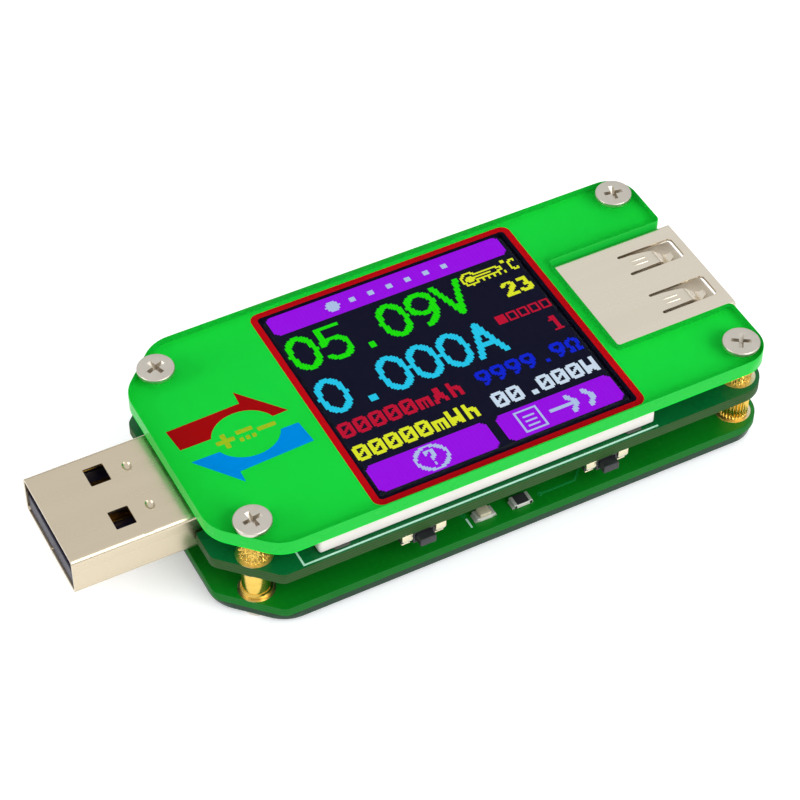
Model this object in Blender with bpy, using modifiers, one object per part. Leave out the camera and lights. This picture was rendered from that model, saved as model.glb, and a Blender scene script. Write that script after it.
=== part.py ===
"""USB power meter: a stack of two circuit boards between a front and a back plate, with a USB plug at one
end, a USB socket at the other, a colour display under the front plate and four side buttons.

+X runs from the plug to the socket, +Y to the back edge and +Z up, out of the display. The origin is under
the middle of the whole length, in the plane of the bottom screw heads.
"""

import math

import bmesh
import bpy
from mathutils import Matrix, Vector

MM = 0.001

# --- Driving sizes -------------------------------------------------------------------------------------
STACK_CENTRE_X = 5.73 * MM      # middle of the boards, counted from the middle of the whole length
PLATE_LENGTH = 58.42 * MM
PLATE_WIDTH = 29.48 * MM
SEAT = 0.03 * MM                # gap between pieces that rest on each other

HEAD_HEIGHT = 0.47 * MM
BACK_PLATE_THICK = 1.07 * MM
LOWER_BOARD_THICK = 1.03 * MM
LOWER_SPACER_LENGTH = 3.67 * MM
MAIN_BOARD_THICK = 1.24 * MM
UPPER_SPACER_LENGTH = 2.64 * MM
FILM_THICK = 0.10 * MM
FRONT_PLATE_THICK = 1.50 * MM

# --- Levels, from the bottom screw heads up --------------------------------------------------------------
BACK_PLATE_Z = HEAD_HEIGHT + SEAT
LOWER_BOARD_Z = BACK_PLATE_Z + BACK_PLATE_THICK + SEAT
LOWER_BOARD_TOP = LOWER_BOARD_Z + LOWER_BOARD_THICK
LOWER_SPACER_Z = LOWER_BOARD_TOP + SEAT
MAIN_BOARD_Z = LOWER_SPACER_Z + LOWER_SPACER_LENGTH + SEAT
MAIN_BOARD_TOP = MAIN_BOARD_Z + MAIN_BOARD_THICK
UPPER_SPACER_Z = MAIN_BOARD_TOP + SEAT
FILM_Z = UPPER_SPACER_Z + UPPER_SPACER_LENGTH + SEAT
FRONT_PLATE_Z = FILM_Z + FILM_THICK + SEAT
FRONT_PLATE_TOP = FRONT_PLATE_Z + FRONT_PLATE_THICK
TOP_HEAD_Z = FRONT_PLATE_TOP + SEAT

# --- Outlines --------------------------------------------------------------------------------------------
CORNER_CUT = 5.1 * MM           # the cut corners beside the plug
CUT_ROUND = 4.0 * MM
CORNER_ROUND = 3.0 * MM         # the corners beside the socket
BOARD_CUT_ROUND = 1.2 * MM
BACK_PLATE_INSET = 0.2 * MM
NOTCH_ROUND = 0.3 * MM
NOTCH_LIP_ROUND = 0.6 * MM
ARC_STEP = math.radians(15)

# --- Screws and spacers ----------------------------------------------------------------------------------
SCREW_PLACES = ((-25.35 * MM, 10.94 * MM), (-25.35 * MM, -10.94 * MM),
                (26.80 * MM, 12.18 * MM), (26.80 * MM, -12.18 * MM))
HEAD_RADIUS = 1.87 * MM
HEAD_EDGE = 0.16 * MM
SHANK_RADIUS = 0.94 * MM
SHANK_LENGTH = 3.4 * MM
RECESS_LENGTH = 1.9 * MM
RECESS_WIDTH = 0.36 * MM
RECESS_DEPTH = 0.32 * MM
RECESS_TURNS = (20, 8, -12, -33)
SPACER_RADIUS = 1.56 * MM
SPACER_BORE = 1.04 * MM
SPACER_EDGE = 0.15 * MM
UPPER_BORE_DEPTH = 2.1 * MM
STUD_LENGTH = 2.7 * MM
CLEARANCE_HOLE = 1.1 * MM
ROUND_SIDES = 24

# --- Plug ------------------------------------------------------------------------------------------------
PLUG_TIP_X = -41.43 * MM
PLUG_REAR_X = -22.3 * MM
PLUG_WIDTH = 12.0 * MM
PLUG_HEIGHT = 4.5 * MM
PLUG_TOP = FRONT_PLATE_TOP - 2.2 * MM
PLUG_ROUND = 0.6 * MM
SHEET = 0.3 * MM
PLUG_WINDOW = (2.0 * MM, 2.3 * MM)
PLUG_WINDOW_X = -35.1 * MM
PLUG_WINDOW_Y = 3.0 * MM
PLUG_TONGUE_THICK = 1.9 * MM
PLUG_TONGUE_INSET = 0.5 * MM
PLUG_BLOCK_X = -30.2 * MM       # where the insulator starts to fill the whole shell

# --- Socket ----------------------------------------------------------------------------------------------
PORT_MOUTH_X = 29.97 * MM
PORT_REAR_X = 16.42 * MM
PORT_WIDTH = 13.1 * MM
PORT_HEIGHT = 5.75 * MM
PORT_TOP = FRONT_PLATE_TOP - 0.6 * MM
PORT_ROUND = 0.45 * MM
PORT_TONGUE = (11.1 * MM, 1.84 * MM)
PORT_TONGUE_DROP = 1.45 * MM    # from the shell's outer top to the top of the tongue
PORT_TONGUE_INSET = 0.9 * MM
PORT_BLOCK_LENGTH = 4.3 * MM
SPRING_Y = 3.02 * MM
SPRING_WIDTH = 2.55 * MM
SPRING_X = (22.9 * MM, 28.95 * MM)
SPRING_SLOT = 0.35 * MM

CONTACT_PITCHES = (-3.5 * MM, -1.0 * MM, 1.0 * MM, 3.5 * MM)
CONTACT = (7.4 * MM, 1.0 * MM, 0.2 * MM)

# --- Display ---------------------------------------------------------------------------------------------
LCD_X = (-20.1 * MM, 16.2 * MM)
LCD_HALF_WIDTH = 13.95 * MM
TAPE_THICK = 0.12 * MM
LCD_FRAME_HEIGHT = 1.75 * MM
LCD_GLASS_X = (-17.6 * MM, 15.6 * MM)
LCD_GLASS_HALF_WIDTH = 13.5 * MM
LCD_GLASS_THICK = 0.6 * MM
WINDOW_X = (-13.4 * MM, 14.5 * MM)
WINDOW_Y = (-13.3 * MM, 13.55 * MM)
WINDOW_ROUND = 0.5 * MM
FLEX_WIDTH = 12.0 * MM
FLEX_THICK = 0.12 * MM

# --- Buttons ---------------------------------------------------------------------------------------------
SWITCH_XS = (-9.45 * MM, 10.6 * MM)
SWITCH = (4.7 * MM, 3.5 * MM, 1.65 * MM)
SWITCH_FACE_Y = 14.7 * MM
BUTTON = (1.7 * MM, 1.75 * MM, 0.9 * MM)
BUTTON_OUT = 0.85 * MM          # how far a button stands out of its switch
BUTTON_PLAY = 0.06 * MM


def material(name, colour, roughness, metallic=0.0):
    """Returns a Principled material of one plain finish."""
    made = bpy.data.materials.new(name)
    made.use_nodes = True
    shader = made.node_tree.nodes["Principled BSDF"]
    shader.inputs["Base Color"].default_value = (*colour, 1.0)
    shader.inputs["Roughness"].default_value = roughness
    shader.inputs["Metallic"].default_value = metallic
    return made


def place(obj, stack, finish):
    """Puts a piece in the object's collection, under the stack's empty, with its finish."""
    PARTS.objects.link(obj)
    obj.parent = stack
    obj.data.materials.append(finish)
    return obj


def mesh_object(name, bm):
    """Turns a bmesh into a new object that isn't in a collection yet."""
    mesh = bpy.data.meshes.new(name)
    bm.to_mesh(mesh)
    bm.free()
    return bpy.data.objects.new(name, mesh)


def box(name, low, high, edge=0.0):
    """Makes a box between two corners, with its edges bevelled if edge is given."""
    low, high = Vector(low), Vector(high)
    bm = bmesh.new()
    bmesh.ops.create_cube(bm, size=1.0)
    bmesh.ops.scale(bm, vec=high - low, verts=bm.verts)
    obj = mesh_object(name, bm)
    obj.location = (low + high) / 2
    if edge:
        bevel = obj.modifiers.new("edge", "BEVEL")
        bevel.width = edge
        bevel.segments = 2
    return obj


def rounded_outline(corners):
    """Returns the points of a closed outline whose corners (x, y, radius) are joined by arcs, anticlockwise."""
    points = []
    for index, (x, y, radius) in enumerate(corners):
        corner = Vector((x, y))
        before = Vector(corners[index - 1][:2]) - corner
        after = Vector(corners[(index + 1) % len(corners)][:2]) - corner
        if not radius:
            points.append(corner)
            continue
        half = before.angle(after) / 2
        centre = corner + (before.normalized() + after.normalized()).normalized() * radius / math.sin(half)
        start = corner + before.normalized() * radius / math.tan(half) - centre
        end = corner + after.normalized() * radius / math.tan(half) - centre
        sweep = start.angle_signed(end)
        steps = max(2, round(abs(sweep) / ARC_STEP))
        points += [centre + Matrix.Rotation(-sweep * step / steps, 2) @ start for step in range(steps + 1)]
    return points


def flat_outline(name, points, bottom, thick):
    """Makes a flat closed solid from an outline: a filled 2D curve, extruded, then welded into a mesh."""
    curve = bpy.data.curves.new(name, "CURVE")
    curve.dimensions = "2D"
    curve.fill_mode = "BOTH"
    curve.extrude = thick / 2
    spline = curve.splines.new("POLY")
    spline.points.add(len(points) - 1)
    for spot, (x, y) in zip(spline.points, points):
        spot.co = (x, y, 0.0, 1.0)
    spline.use_cyclic_u = True
    source = bpy.data.objects.new(name + "_curve", curve)
    bpy.context.scene.collection.objects.link(source)
    evaluated = source.evaluated_get(bpy.context.evaluated_depsgraph_get())
    mesh = bpy.data.meshes.new_from_object(evaluated)
    bpy.data.objects.remove(source)
    bm = bmesh.new()
    bm.from_mesh(mesh)
    bpy.data.meshes.remove(mesh)
    bmesh.ops.remove_doubles(bm, verts=bm.verts, dist=1e-7)
    bmesh.ops.recalc_face_normals(bm, faces=bm.faces)
    obj = mesh_object(name, bm)
    obj.location.z = bottom + thick / 2
    return obj


def end_on(obj, x, z):
    """Stands a flat solid on end, so that its outline faces +X: outline x runs along Y and outline y along Z."""
    obj.matrix_world = Matrix.Translation((x, 0, z)) @ Matrix(
        ((0, 0, 1, 0), (1, 0, 0, 0), (0, 1, 0, 0), (0, 0, 0, 1)))
    return obj


def tube_block(name, width, height, radius, x_low, x_high, z_middle):
    """Makes a bar along X with a rounded rectangular section, as a USB shell or the space inside one."""
    y, z = width / 2, height / 2
    outline = rounded_outline([(-y, -z, radius), (y, -z, radius), (y, z, radius), (-y, z, radius)])
    obj = flat_outline(name, outline, 0.0, x_high - x_low)
    return end_on(obj, (x_low + x_high) / 2, z_middle)


def turned(name, profile, place_at, sides=ROUND_SIDES):
    """Makes a turned piece from a profile of (radius, height) points that starts and ends on the axis.

    The profile runs from the top of the axis, down the outer side, to the bottom of the axis.
    """
    bm = bmesh.new()
    verts = [bm.verts.new((radius, 0, height)) for radius, height in profile]
    for first, second in zip(verts, verts[1:]):
        bm.edges.new((first, second))
    obj = mesh_object(name, bm)
    screw = obj.modifiers.new("turn", "SCREW")
    screw.steps = screw.render_steps = sides
    screw.use_merge_vertices = True
    screw.merge_threshold = 1e-7
    obj.location = place_at
    return obj


def cylinder(name, radius, low, high, at, sides=ROUND_SIDES):
    """Makes an upright cylinder at (x, y) between two heights."""
    bm = bmesh.new()
    bmesh.ops.create_cone(bm, cap_ends=True, segments=sides, radius1=radius, radius2=radius, depth=high - low)
    obj = mesh_object(name, bm)
    obj.location = (*at, (low + high) / 2)
    return obj


def cutter(obj, stack):
    """Makes an object a hidden guide for Boolean cuts."""
    GUIDES.objects.link(obj)
    obj.parent = stack
    obj.hide_render = True
    obj.display_type = "WIRE"
    return obj


def combine(target, others, operation="DIFFERENCE"):
    """Cuts the target with each guide, or joins each guide to it."""
    for other in others:
        step = target.modifiers.new("cut", "BOOLEAN")
        step.operation = operation
        step.object = other
        step.solver = "EXACT"
    return target


def plate_outline(inset=0.0, cut_round=CUT_ROUND, port_notch=True, plug_notch=False):
    """Returns the outline that the plates and boards share, with the notches that each one has."""
    x, y = PLATE_LENGTH / 2 - inset, PLATE_WIDTH / 2 - inset
    notch_y = PORT_WIDTH / 2 + 0.2 * MM
    plug_y = PLUG_WIDTH / 2 + 0.15 * MM
    corners = [(x, -y, CORNER_ROUND)]
    if port_notch:
        notch_x = PORT_REAR_X - 0.3 * MM
        corners += [(x, -notch_y, NOTCH_LIP_ROUND), (notch_x, -notch_y, NOTCH_ROUND),
                    (notch_x, notch_y, NOTCH_ROUND), (x, notch_y, NOTCH_LIP_ROUND)]
    corners += [(x, y, CORNER_ROUND), (-x + CORNER_CUT, y, cut_round), (-x, y - CORNER_CUT, cut_round)]
    if plug_notch:
        notch_x = PLUG_REAR_X + 0.3 * MM
        corners += [(-x, plug_y, NOTCH_ROUND), (notch_x, plug_y, NOTCH_ROUND),
                    (notch_x, -plug_y, NOTCH_ROUND), (-x, -plug_y, NOTCH_ROUND)]
    corners += [(-x, -y + CORNER_CUT, cut_round), (-x + CORNER_CUT, -y, cut_round)]
    return rounded_outline(corners)


def build_plates(stack, holes):
    """Builds the clear front plate, the printed film under it and the back plate."""
    acrylic = material("clear_acrylic", (0.05, 0.75, 0.12), 0.12)
    film = material("printed_film", (0.02, 0.65, 0.05), 0.3)
    window = cutter(flat_outline("window_guide", rounded_outline([
        (WINDOW_X[0], WINDOW_Y[0], WINDOW_ROUND), (WINDOW_X[1], WINDOW_Y[0], WINDOW_ROUND),
        (WINDOW_X[1], WINDOW_Y[1], WINDOW_ROUND), (WINDOW_X[0], WINDOW_Y[1], WINDOW_ROUND)]),
        FILM_Z - FILM_THICK, 3 * FILM_THICK), stack)
    front = flat_outline("front_plate", plate_outline(), FRONT_PLATE_Z, FRONT_PLATE_THICK)
    combine(place(front, stack, acrylic), holes)
    printed = flat_outline("artwork_film", plate_outline(), FILM_Z, FILM_THICK)
    combine(place(printed, stack, film), [*holes, window])
    outline = plate_outline(BACK_PLATE_INSET, port_notch=False)
    back = flat_outline("back_plate", outline, BACK_PLATE_Z, BACK_PLATE_THICK)
    combine(place(back, stack, material("back_acrylic", (0.03, 0.1, 0.05), 0.2)), holes)


def build_boards(stack, holes):
    """Builds the main board, which the plug and socket sit in, and the lower board."""
    mask = material("board_green", (0.0, 0.16, 0.04), 0.35)
    main = flat_outline("main_board", plate_outline(cut_round=BOARD_CUT_ROUND, plug_notch=True),
                        MAIN_BOARD_Z, MAIN_BOARD_THICK)
    combine(place(main, stack, mask), holes)
    lower = flat_outline("lower_board", plate_outline(cut_round=BOARD_CUT_ROUND, port_notch=False),
                         LOWER_BOARD_Z, LOWER_BOARD_THICK)
    combine(place(lower, stack, mask), holes)


def build_screws(stack):
    """Builds the four screws through the front plate and the four through the back plate."""
    nickel = material("nickel_steel", (0.65, 0.62, 0.58), 0.3, 1.0)
    profile = [(0.0, HEAD_HEIGHT), (HEAD_RADIUS - HEAD_EDGE, HEAD_HEIGHT),
               (HEAD_RADIUS - 0.3 * HEAD_EDGE, HEAD_HEIGHT - 0.3 * HEAD_EDGE),
               (HEAD_RADIUS, HEAD_HEIGHT - HEAD_EDGE), (HEAD_RADIUS, 0.0), (SHANK_RADIUS, 0.0),
               (SHANK_RADIUS, -SHANK_LENGTH + 0.2 * MM), (SHANK_RADIUS - 0.2 * MM, -SHANK_LENGTH),
               (0.0, -SHANK_LENGTH)]
    for number, ((x, y), turn) in enumerate(zip(SCREW_PLACES, RECESS_TURNS), 1):
        for side, seat_z, flip in (("top", TOP_HEAD_Z, 0.0), ("bottom", HEAD_HEIGHT, math.pi)):
            name = f"{side}_screw_{number}"
            screw = place(turned(name, profile, (x, y, seat_z)), stack, nickel)
            screw.rotation_euler.x = flip
            arms = []
            for arm in (0, 90):
                slot = box(f"{name}_recess_{arm}", (-RECESS_LENGTH / 2, -RECESS_WIDTH / 2, -RECESS_DEPTH),
                           (RECESS_LENGTH / 2, RECESS_WIDTH / 2, RECESS_DEPTH))
                face = HEAD_HEIGHT if not flip else -HEAD_HEIGHT
                slot.location = (x, y, seat_z + face)
                slot.rotation_euler.z = math.radians(turn + arm)
                arms.append(cutter(slot, stack))
            combine(screw, arms)


def build_spacers(stack):
    """Builds the threaded brass spacers: studded ones above the main board, through-bored ones below it."""
    brass = material("brass", (0.7, 0.45, 0.12), 0.3, 1.0)
    top, edge = UPPER_SPACER_LENGTH, SPACER_EDGE
    studded = [(0.0, top - UPPER_BORE_DEPTH), (SPACER_BORE, top - UPPER_BORE_DEPTH), (SPACER_BORE, top),
               (SPACER_RADIUS - edge, top), (SPACER_RADIUS, top - edge), (SPACER_RADIUS, edge),
               (SPACER_RADIUS - edge, 0.0), (SHANK_RADIUS, 0.0), (SHANK_RADIUS, -STUD_LENGTH),
               (0.0, -STUD_LENGTH)]
    length = LOWER_SPACER_LENGTH
    solid = [(0.0, length), (SPACER_RADIUS - edge, length), (SPACER_RADIUS, length - edge),
             (SPACER_RADIUS, edge), (SPACER_RADIUS - edge, 0.0), (0.0, 0.0)]
    for number, (x, y) in enumerate(SCREW_PLACES, 1):
        place(turned(f"upper_spacer_{number}", studded, (x, y, UPPER_SPACER_Z)), stack, brass)
        lower = place(turned(f"lower_spacer_{number}", solid, (x, y, LOWER_SPACER_Z)), stack, brass)
        bore = cylinder(f"spacer_bore_{number}", SPACER_BORE, LOWER_SPACER_Z - MM,
                        LOWER_SPACER_Z + length + MM, (x, y))
        combine(lower, [cutter(bore, stack)])


def contacts(stack, kind, x_low, z_low, gilt):
    """Builds the four flat contacts of the plug or the socket."""
    for number, y in enumerate(CONTACT_PITCHES, 1):
        strip = box(f"{kind}_contact_{number}", (x_low, y - CONTACT[1] / 2, z_low),
                    (x_low + CONTACT[0], y + CONTACT[1] / 2, z_low + CONTACT[2]))
        place(strip, stack, gilt)


def build_plug(stack, steel, gilt):
    """Builds the plug: a folded steel shell round an insulator that fills its lower half."""
    middle = PLUG_TOP - PLUG_HEIGHT / 2
    shell = tube_block("plug_shell", PLUG_WIDTH, PLUG_HEIGHT, PLUG_ROUND, PLUG_TIP_X, PLUG_REAR_X, middle)
    hollow = tube_block("plug_hollow_guide", PLUG_WIDTH - 2 * SHEET, PLUG_HEIGHT - 2 * SHEET,
                        PLUG_ROUND - SHEET, PLUG_TIP_X - MM, PLUG_REAR_X + MM, middle)
    cuts = [cutter(hollow, stack)]
    half_x, half_y = PLUG_WINDOW[0] / 2, PLUG_WINDOW[1] / 2
    for side, y in (("back", PLUG_WINDOW_Y), ("front", -PLUG_WINDOW_Y)):
        cuts.append(cutter(box(f"plug_window_{side}_guide",
                               (PLUG_WINDOW_X - half_x, y - half_y, middle - PLUG_HEIGHT),
                               (PLUG_WINDOW_X + half_x, y + half_y, middle + PLUG_HEIGHT)), stack))
    combine(place(shell, stack, steel), cuts)

    navy = material("plug_plastic", (0.05, 0.03, 0.12), 0.45)
    play = SEAT
    y = PLUG_WIDTH / 2 - SHEET - play
    floor = middle - PLUG_HEIGHT / 2 + SHEET + play
    ceiling = middle + PLUG_HEIGHT / 2 - SHEET - play
    x_low, x_high = PLUG_TIP_X + PLUG_TONGUE_INSET, PLUG_REAR_X - play
    fillet = PLUG_ROUND - SHEET
    tongue = tube_block("plug_insulator", 2 * y, PLUG_TONGUE_THICK, fillet, x_low, x_high,
                        floor + PLUG_TONGUE_THICK / 2)
    block = cutter(tube_block("plug_block_guide", 2 * y - play, ceiling - floor - play, fillet,
                              PLUG_BLOCK_X, x_high - play, middle), stack)
    combine(place(tongue, stack, navy), [block], "UNION")
    contacts(stack, "plug", PLUG_TIP_X + 1.6 * MM, floor + PLUG_TONGUE_THICK + play, gilt)


def build_port(stack, steel, gilt):
    """Builds the socket: a steel shell with two spring fingers in its top, round a block with a tongue."""
    middle = PORT_TOP - PORT_HEIGHT / 2
    shell = tube_block("port_shell", PORT_WIDTH, PORT_HEIGHT, PORT_ROUND, PORT_REAR_X, PORT_MOUTH_X, middle)
    hollow = tube_block("port_hollow_guide", PORT_WIDTH - 2 * SHEET, PORT_HEIGHT - 2 * SHEET,
                        PORT_ROUND - SHEET / 2, PORT_REAR_X + SHEET, PORT_MOUTH_X + MM, middle)
    cuts = [cutter(hollow, stack)]
    slot = SPRING_SLOT
    low_x, high_x = SPRING_X
    roof = (PORT_TOP - 3 * SHEET, PORT_TOP + SHEET)
    for side, y in (("back", SPRING_Y), ("front", -SPRING_Y)):
        inner, outer = y - SPRING_WIDTH / 2, y + SPRING_WIDTH / 2
        for part, low, high in (("left", (low_x, inner - slot), (high_x, inner)),
                                ("right", (low_x, outer), (high_x, outer + slot)),
                                ("end", (high_x - slot, inner - slot / 2), (high_x, outer + slot / 2))):
            cuts.append(cutter(box(f"port_{side}_{part}_guide", (*low, roof[0]), (*high, roof[1])), stack))
    combine(place(shell, stack, steel), cuts)

    black = material("port_plastic", (0.02, 0.02, 0.022), 0.5)
    play = SEAT
    y, z = PORT_WIDTH / 2 - SHEET - play, PORT_HEIGHT / 2 - SHEET - play
    rear = PORT_REAR_X + SHEET + play
    block = tube_block("port_insulator", 2 * y, 2 * z, PORT_ROUND - SHEET / 2, rear, rear + PORT_BLOCK_LENGTH,
                       middle)
    tongue_top = PORT_TOP - PORT_TONGUE_DROP
    tongue_low = tongue_top - PORT_TONGUE[1]
    tongue = cutter(box("port_tongue_guide", (rear + play, -PORT_TONGUE[0] / 2, tongue_low),
                        (PORT_MOUTH_X - PORT_TONGUE_INSET, PORT_TONGUE[0] / 2, tongue_top)), stack)
    combine(place(block, stack, black), [tongue], "UNION")
    contacts(stack, "port", rear + PORT_BLOCK_LENGTH + play, tongue_low - play - CONTACT[2], gilt)


def build_display(stack):
    """Builds the display module: backlight frame, glass, the tape it sits on and its folded flex."""
    white = material("lcd_white", (0.8, 0.77, 0.76), 0.4)
    tape_z = MAIN_BOARD_TOP + SEAT
    frame_z = tape_z + TAPE_THICK + SEAT
    glass_z = frame_z + LCD_FRAME_HEIGHT + SEAT
    for side, (low, high) in (("left", (LCD_X[0] + 1.5 * MM, LCD_X[0] + 3.2 * MM)),
                              ("right", (LCD_X[1] - 3.2 * MM, LCD_X[1] - 1.5 * MM))):
        tape = box(f"lcd_tape_{side}", (low, -LCD_HALF_WIDTH - 0.2 * MM, tape_z),
                   (high, LCD_HALF_WIDTH, tape_z + TAPE_THICK))
        place(tape, stack, material(f"foam_tape_{side}", (0.2, 0.2, 0.19), 0.9))
    place(box("lcd_frame", (LCD_X[0], -LCD_HALF_WIDTH, frame_z),
              (LCD_X[1], LCD_HALF_WIDTH, frame_z + LCD_FRAME_HEIGHT), 0.12 * MM), stack, white)
    place(box("lcd_glass", (LCD_GLASS_X[0], -LCD_GLASS_HALF_WIDTH, glass_z),
              (LCD_GLASS_X[1], LCD_GLASS_HALF_WIDTH, glass_z + LCD_GLASS_THICK), 0.05 * MM),
          stack, material("lcd_glass", (0.01, 0.01, 0.03), 0.1))

    start_x, low = LCD_GLASS_X[0] - 0.2 * MM, tape_z + FLEX_THICK
    high = glass_z + 0.5 * LCD_GLASS_THICK
    bend = (high - low) / 2
    centre_x = LCD_X[0] - 0.15 * MM
    bow = [(centre_x - 0.45 * bend * math.sin(angle), (high + low) / 2 + bend * math.cos(angle))
           for angle in (math.pi * step / 10 for step in range(11))]
    route = [(start_x, high), *bow]
    flex = place(flex_strip("lcd_flex", route), stack, material("flex_amber", (0.35, 0.16, 0.03), 0.4))
    thicken = flex.modifiers.new("thick", "SOLIDIFY")
    thicken.thickness = FLEX_THICK
    thicken.offset = 0.0


def flex_strip(name, route):
    """Makes an open strip of the flex's width that follows a route of (x, z) points."""
    bm = bmesh.new()
    rows = [[bm.verts.new((x, y, z)) for y in (-FLEX_WIDTH / 2, FLEX_WIDTH / 2)] for x, z in route]
    for (a, b), (c, d) in zip(rows, rows[1:]):
        bm.faces.new((a, b, d, c))
    return mesh_object(name, bm)


def build_switches(stack):
    """Builds four side switches under the main board, each with its own button."""
    metal = material("switch_tin", (0.75, 0.7, 0.6), 0.35, 0.8)
    black = material("button_black", (0.02, 0.02, 0.025), 0.5)
    top = MAIN_BOARD_Z - SEAT
    low = top - SWITCH[2]
    key_low = low + 0.35 * MM
    for side, sign in (("front", -1), ("back", 1)):
        for number, x in enumerate(SWITCH_XS, 1):
            face, rear = sign * SWITCH_FACE_Y, sign * (SWITCH_FACE_Y - SWITCH[1])
            body = box(f"{side}_switch_{number}", (x - SWITCH[0] / 2, min(face, rear), low),
                       (x + SWITCH[0] / 2, max(face, rear), top), 0.08 * MM)
            tip = sign * (SWITCH_FACE_Y + BUTTON_OUT)
            root = tip - sign * BUTTON[1]
            play = BUTTON_PLAY
            well_end = root - sign * 0.5 * MM
            well = box(f"{side}_well_{number}_guide",
                       (x - BUTTON[0] / 2 - play, min(tip, well_end), key_low - play),
                       (x + BUTTON[0] / 2 + play, max(tip, well_end), key_low + BUTTON[2] + play))
            combine(place(body, stack, metal), [cutter(well, stack)])
            key = box(f"{side}_button_{number}", (x - BUTTON[0] / 2, min(root, tip), key_low),
                      (x + BUTTON[0] / 2, max(root, tip), key_low + BUTTON[2]), 0.08 * MM)
            place(key, stack, black)


def chip_with_legs(stack, name, centre, size, legs, pitch, board_z, up):
    """Builds a chip whose legs stand out of two opposite sides and bend down to the board."""
    body_low = board_z + (0.12 * MM if up else -0.12 * MM - size[2])
    x, y = centre
    body = box(name, (x - size[0] / 2, y - size[1] / 2, body_low),
               (x + size[0] / 2, y + size[1] / 2, body_low + size[2]), 0.06 * MM)
    leg_z = board_z + (SEAT if up else -SEAT - 0.5 * size[2])
    guides = []
    for number in range(legs):
        leg_x = x + (number - (legs - 1) / 2) * pitch
        leg = box(f"{name}_leg_{number}_guide", (leg_x - 0.2 * MM, y - size[1] / 2 - 0.9 * MM, leg_z),
                  (leg_x + 0.2 * MM, y + size[1] / 2 + 0.9 * MM, leg_z + 0.5 * size[2]))
        guides.append(cutter(leg, stack))
    combine(place(body, stack, material(name, (0.02, 0.02, 0.022), 0.55)), guides, "UNION")


def build_small_parts(stack):
    """Builds the electronic parts that sit on the two boards, and the connector between them."""
    lower, under = LOWER_BOARD_TOP + SEAT, MAIN_BOARD_Z - SEAT
    place(box("status_led", (-3.1 * MM, -13.62 * MM, lower), (-1.1 * MM, -12.37 * MM, lower + 0.8 * MM),
              0.1 * MM), stack, material("led_body", (0.7, 0.68, 0.6), 0.4))
    place(box("led_resistor", (0.9 * MM, -13.78 * MM, lower), (2.9 * MM, -12.53 * MM, lower + 0.55 * MM),
              0.06 * MM), stack, material("resistor_black", (0.03, 0.03, 0.03), 0.5))
    chip_with_legs(stack, "microcontroller", (2 * MM, 3 * MM), (7 * MM, 7 * MM, 1.3 * MM), 8, 0.8 * MM,
                   MAIN_BOARD_Z, False)
    chip_with_legs(stack, "memory_chip", (8 * MM, 2 * MM), (4.9 * MM, 3.9 * MM, 1.35 * MM), 4, 1.27 * MM,
                   LOWER_BOARD_TOP, True)
    for name, x, y, size, colour, metal in (
            ("crystal", -5.5, 3.0, (3.2, 2.5, 0.8), (0.6, 0.6, 0.58), 1.0),
            ("shunt_resistor", -13.5, -2.5, (6.4, 3.2, 0.7), (0.12, 0.12, 0.13), 0.3),
            ("voltage_regulator", -14.0, 4.0, (4.5, 2.5, 1.5), (0.03, 0.03, 0.03), 0.0),
            ("filter_capacitor", 10.5, -3.0, (3.2, 1.6, 1.5), (0.45, 0.3, 0.15), 0.0)):
        low = (x * MM - size[0] * MM / 2, y * MM - size[1] * MM / 2, under - size[2] * MM)
        high = (x * MM + size[0] * MM / 2, y * MM + size[1] * MM / 2, under)
        place(box(name, low, high, 0.06 * MM), stack, material(name, colour, 0.45, metal))

    row_x, row_y, gap = (-6.4 * MM, 6.4 * MM), (9.2 * MM, 11.4 * MM), 0.3 * MM
    split = lower + 2.2 * MM
    black = material("header_plastic", (0.02, 0.02, 0.02), 0.5)
    place(box("board_socket", (row_x[0], row_y[0], lower), (row_x[1], row_y[1], split)), stack, black)
    place(box("board_header", (row_x[0], row_y[0], split + gap), (row_x[1], row_y[1], under)), stack, black)


def main():
    """Builds every piece under one empty at the middle of the stack."""
    stack = bpy.data.objects.new("stack_centre", None)
    stack.location.x = STACK_CENTRE_X
    PARTS.objects.link(stack)
    holes = [cutter(cylinder(f"hole_{number}_guide", CLEARANCE_HOLE, -MM, TOP_HEAD_Z + MM, spot), stack)
             for number, spot in enumerate(SCREW_PLACES, 1)]
    steel = material("bright_nickel", (0.72, 0.68, 0.6), 0.28, 1.0)
    gilt = material("gold_contact", (0.9, 0.65, 0.25), 0.25, 1.0)
    build_plates(stack, holes)
    build_boards(stack, holes)
    build_screws(stack)
    build_spacers(stack)
    build_plug(stack, steel, gilt)
    build_port(stack, steel, gilt)
    build_display(stack)
    build_switches(stack)
    build_small_parts(stack)


for old in list(bpy.data.objects):
    bpy.data.objects.remove(old, do_unlink=True)
PARTS = bpy.data.collections.new("usb_power_meter")
GUIDES = bpy.data.collections.new("guides")
bpy.context.scene.collection.children.link(PARTS)
bpy.context.scene.collection.children.link(GUIDES)
main()
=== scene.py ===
"""The looks of a USB power meter: finishes, fine meshes, display picture and studio round the CAD frame.

Sizes are in millimetres. X runs from the plug to the socket, Y to the back edge and Z up, out of the
display. Plan sizes count from the middle of the boards, and heights come from the frame.
"""

import logging
import math
from collections.abc import Callable, Sequence
from dataclasses import dataclass
from enum import Enum

import bmesh
import bpy
from mathutils import Matrix, Vector


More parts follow.
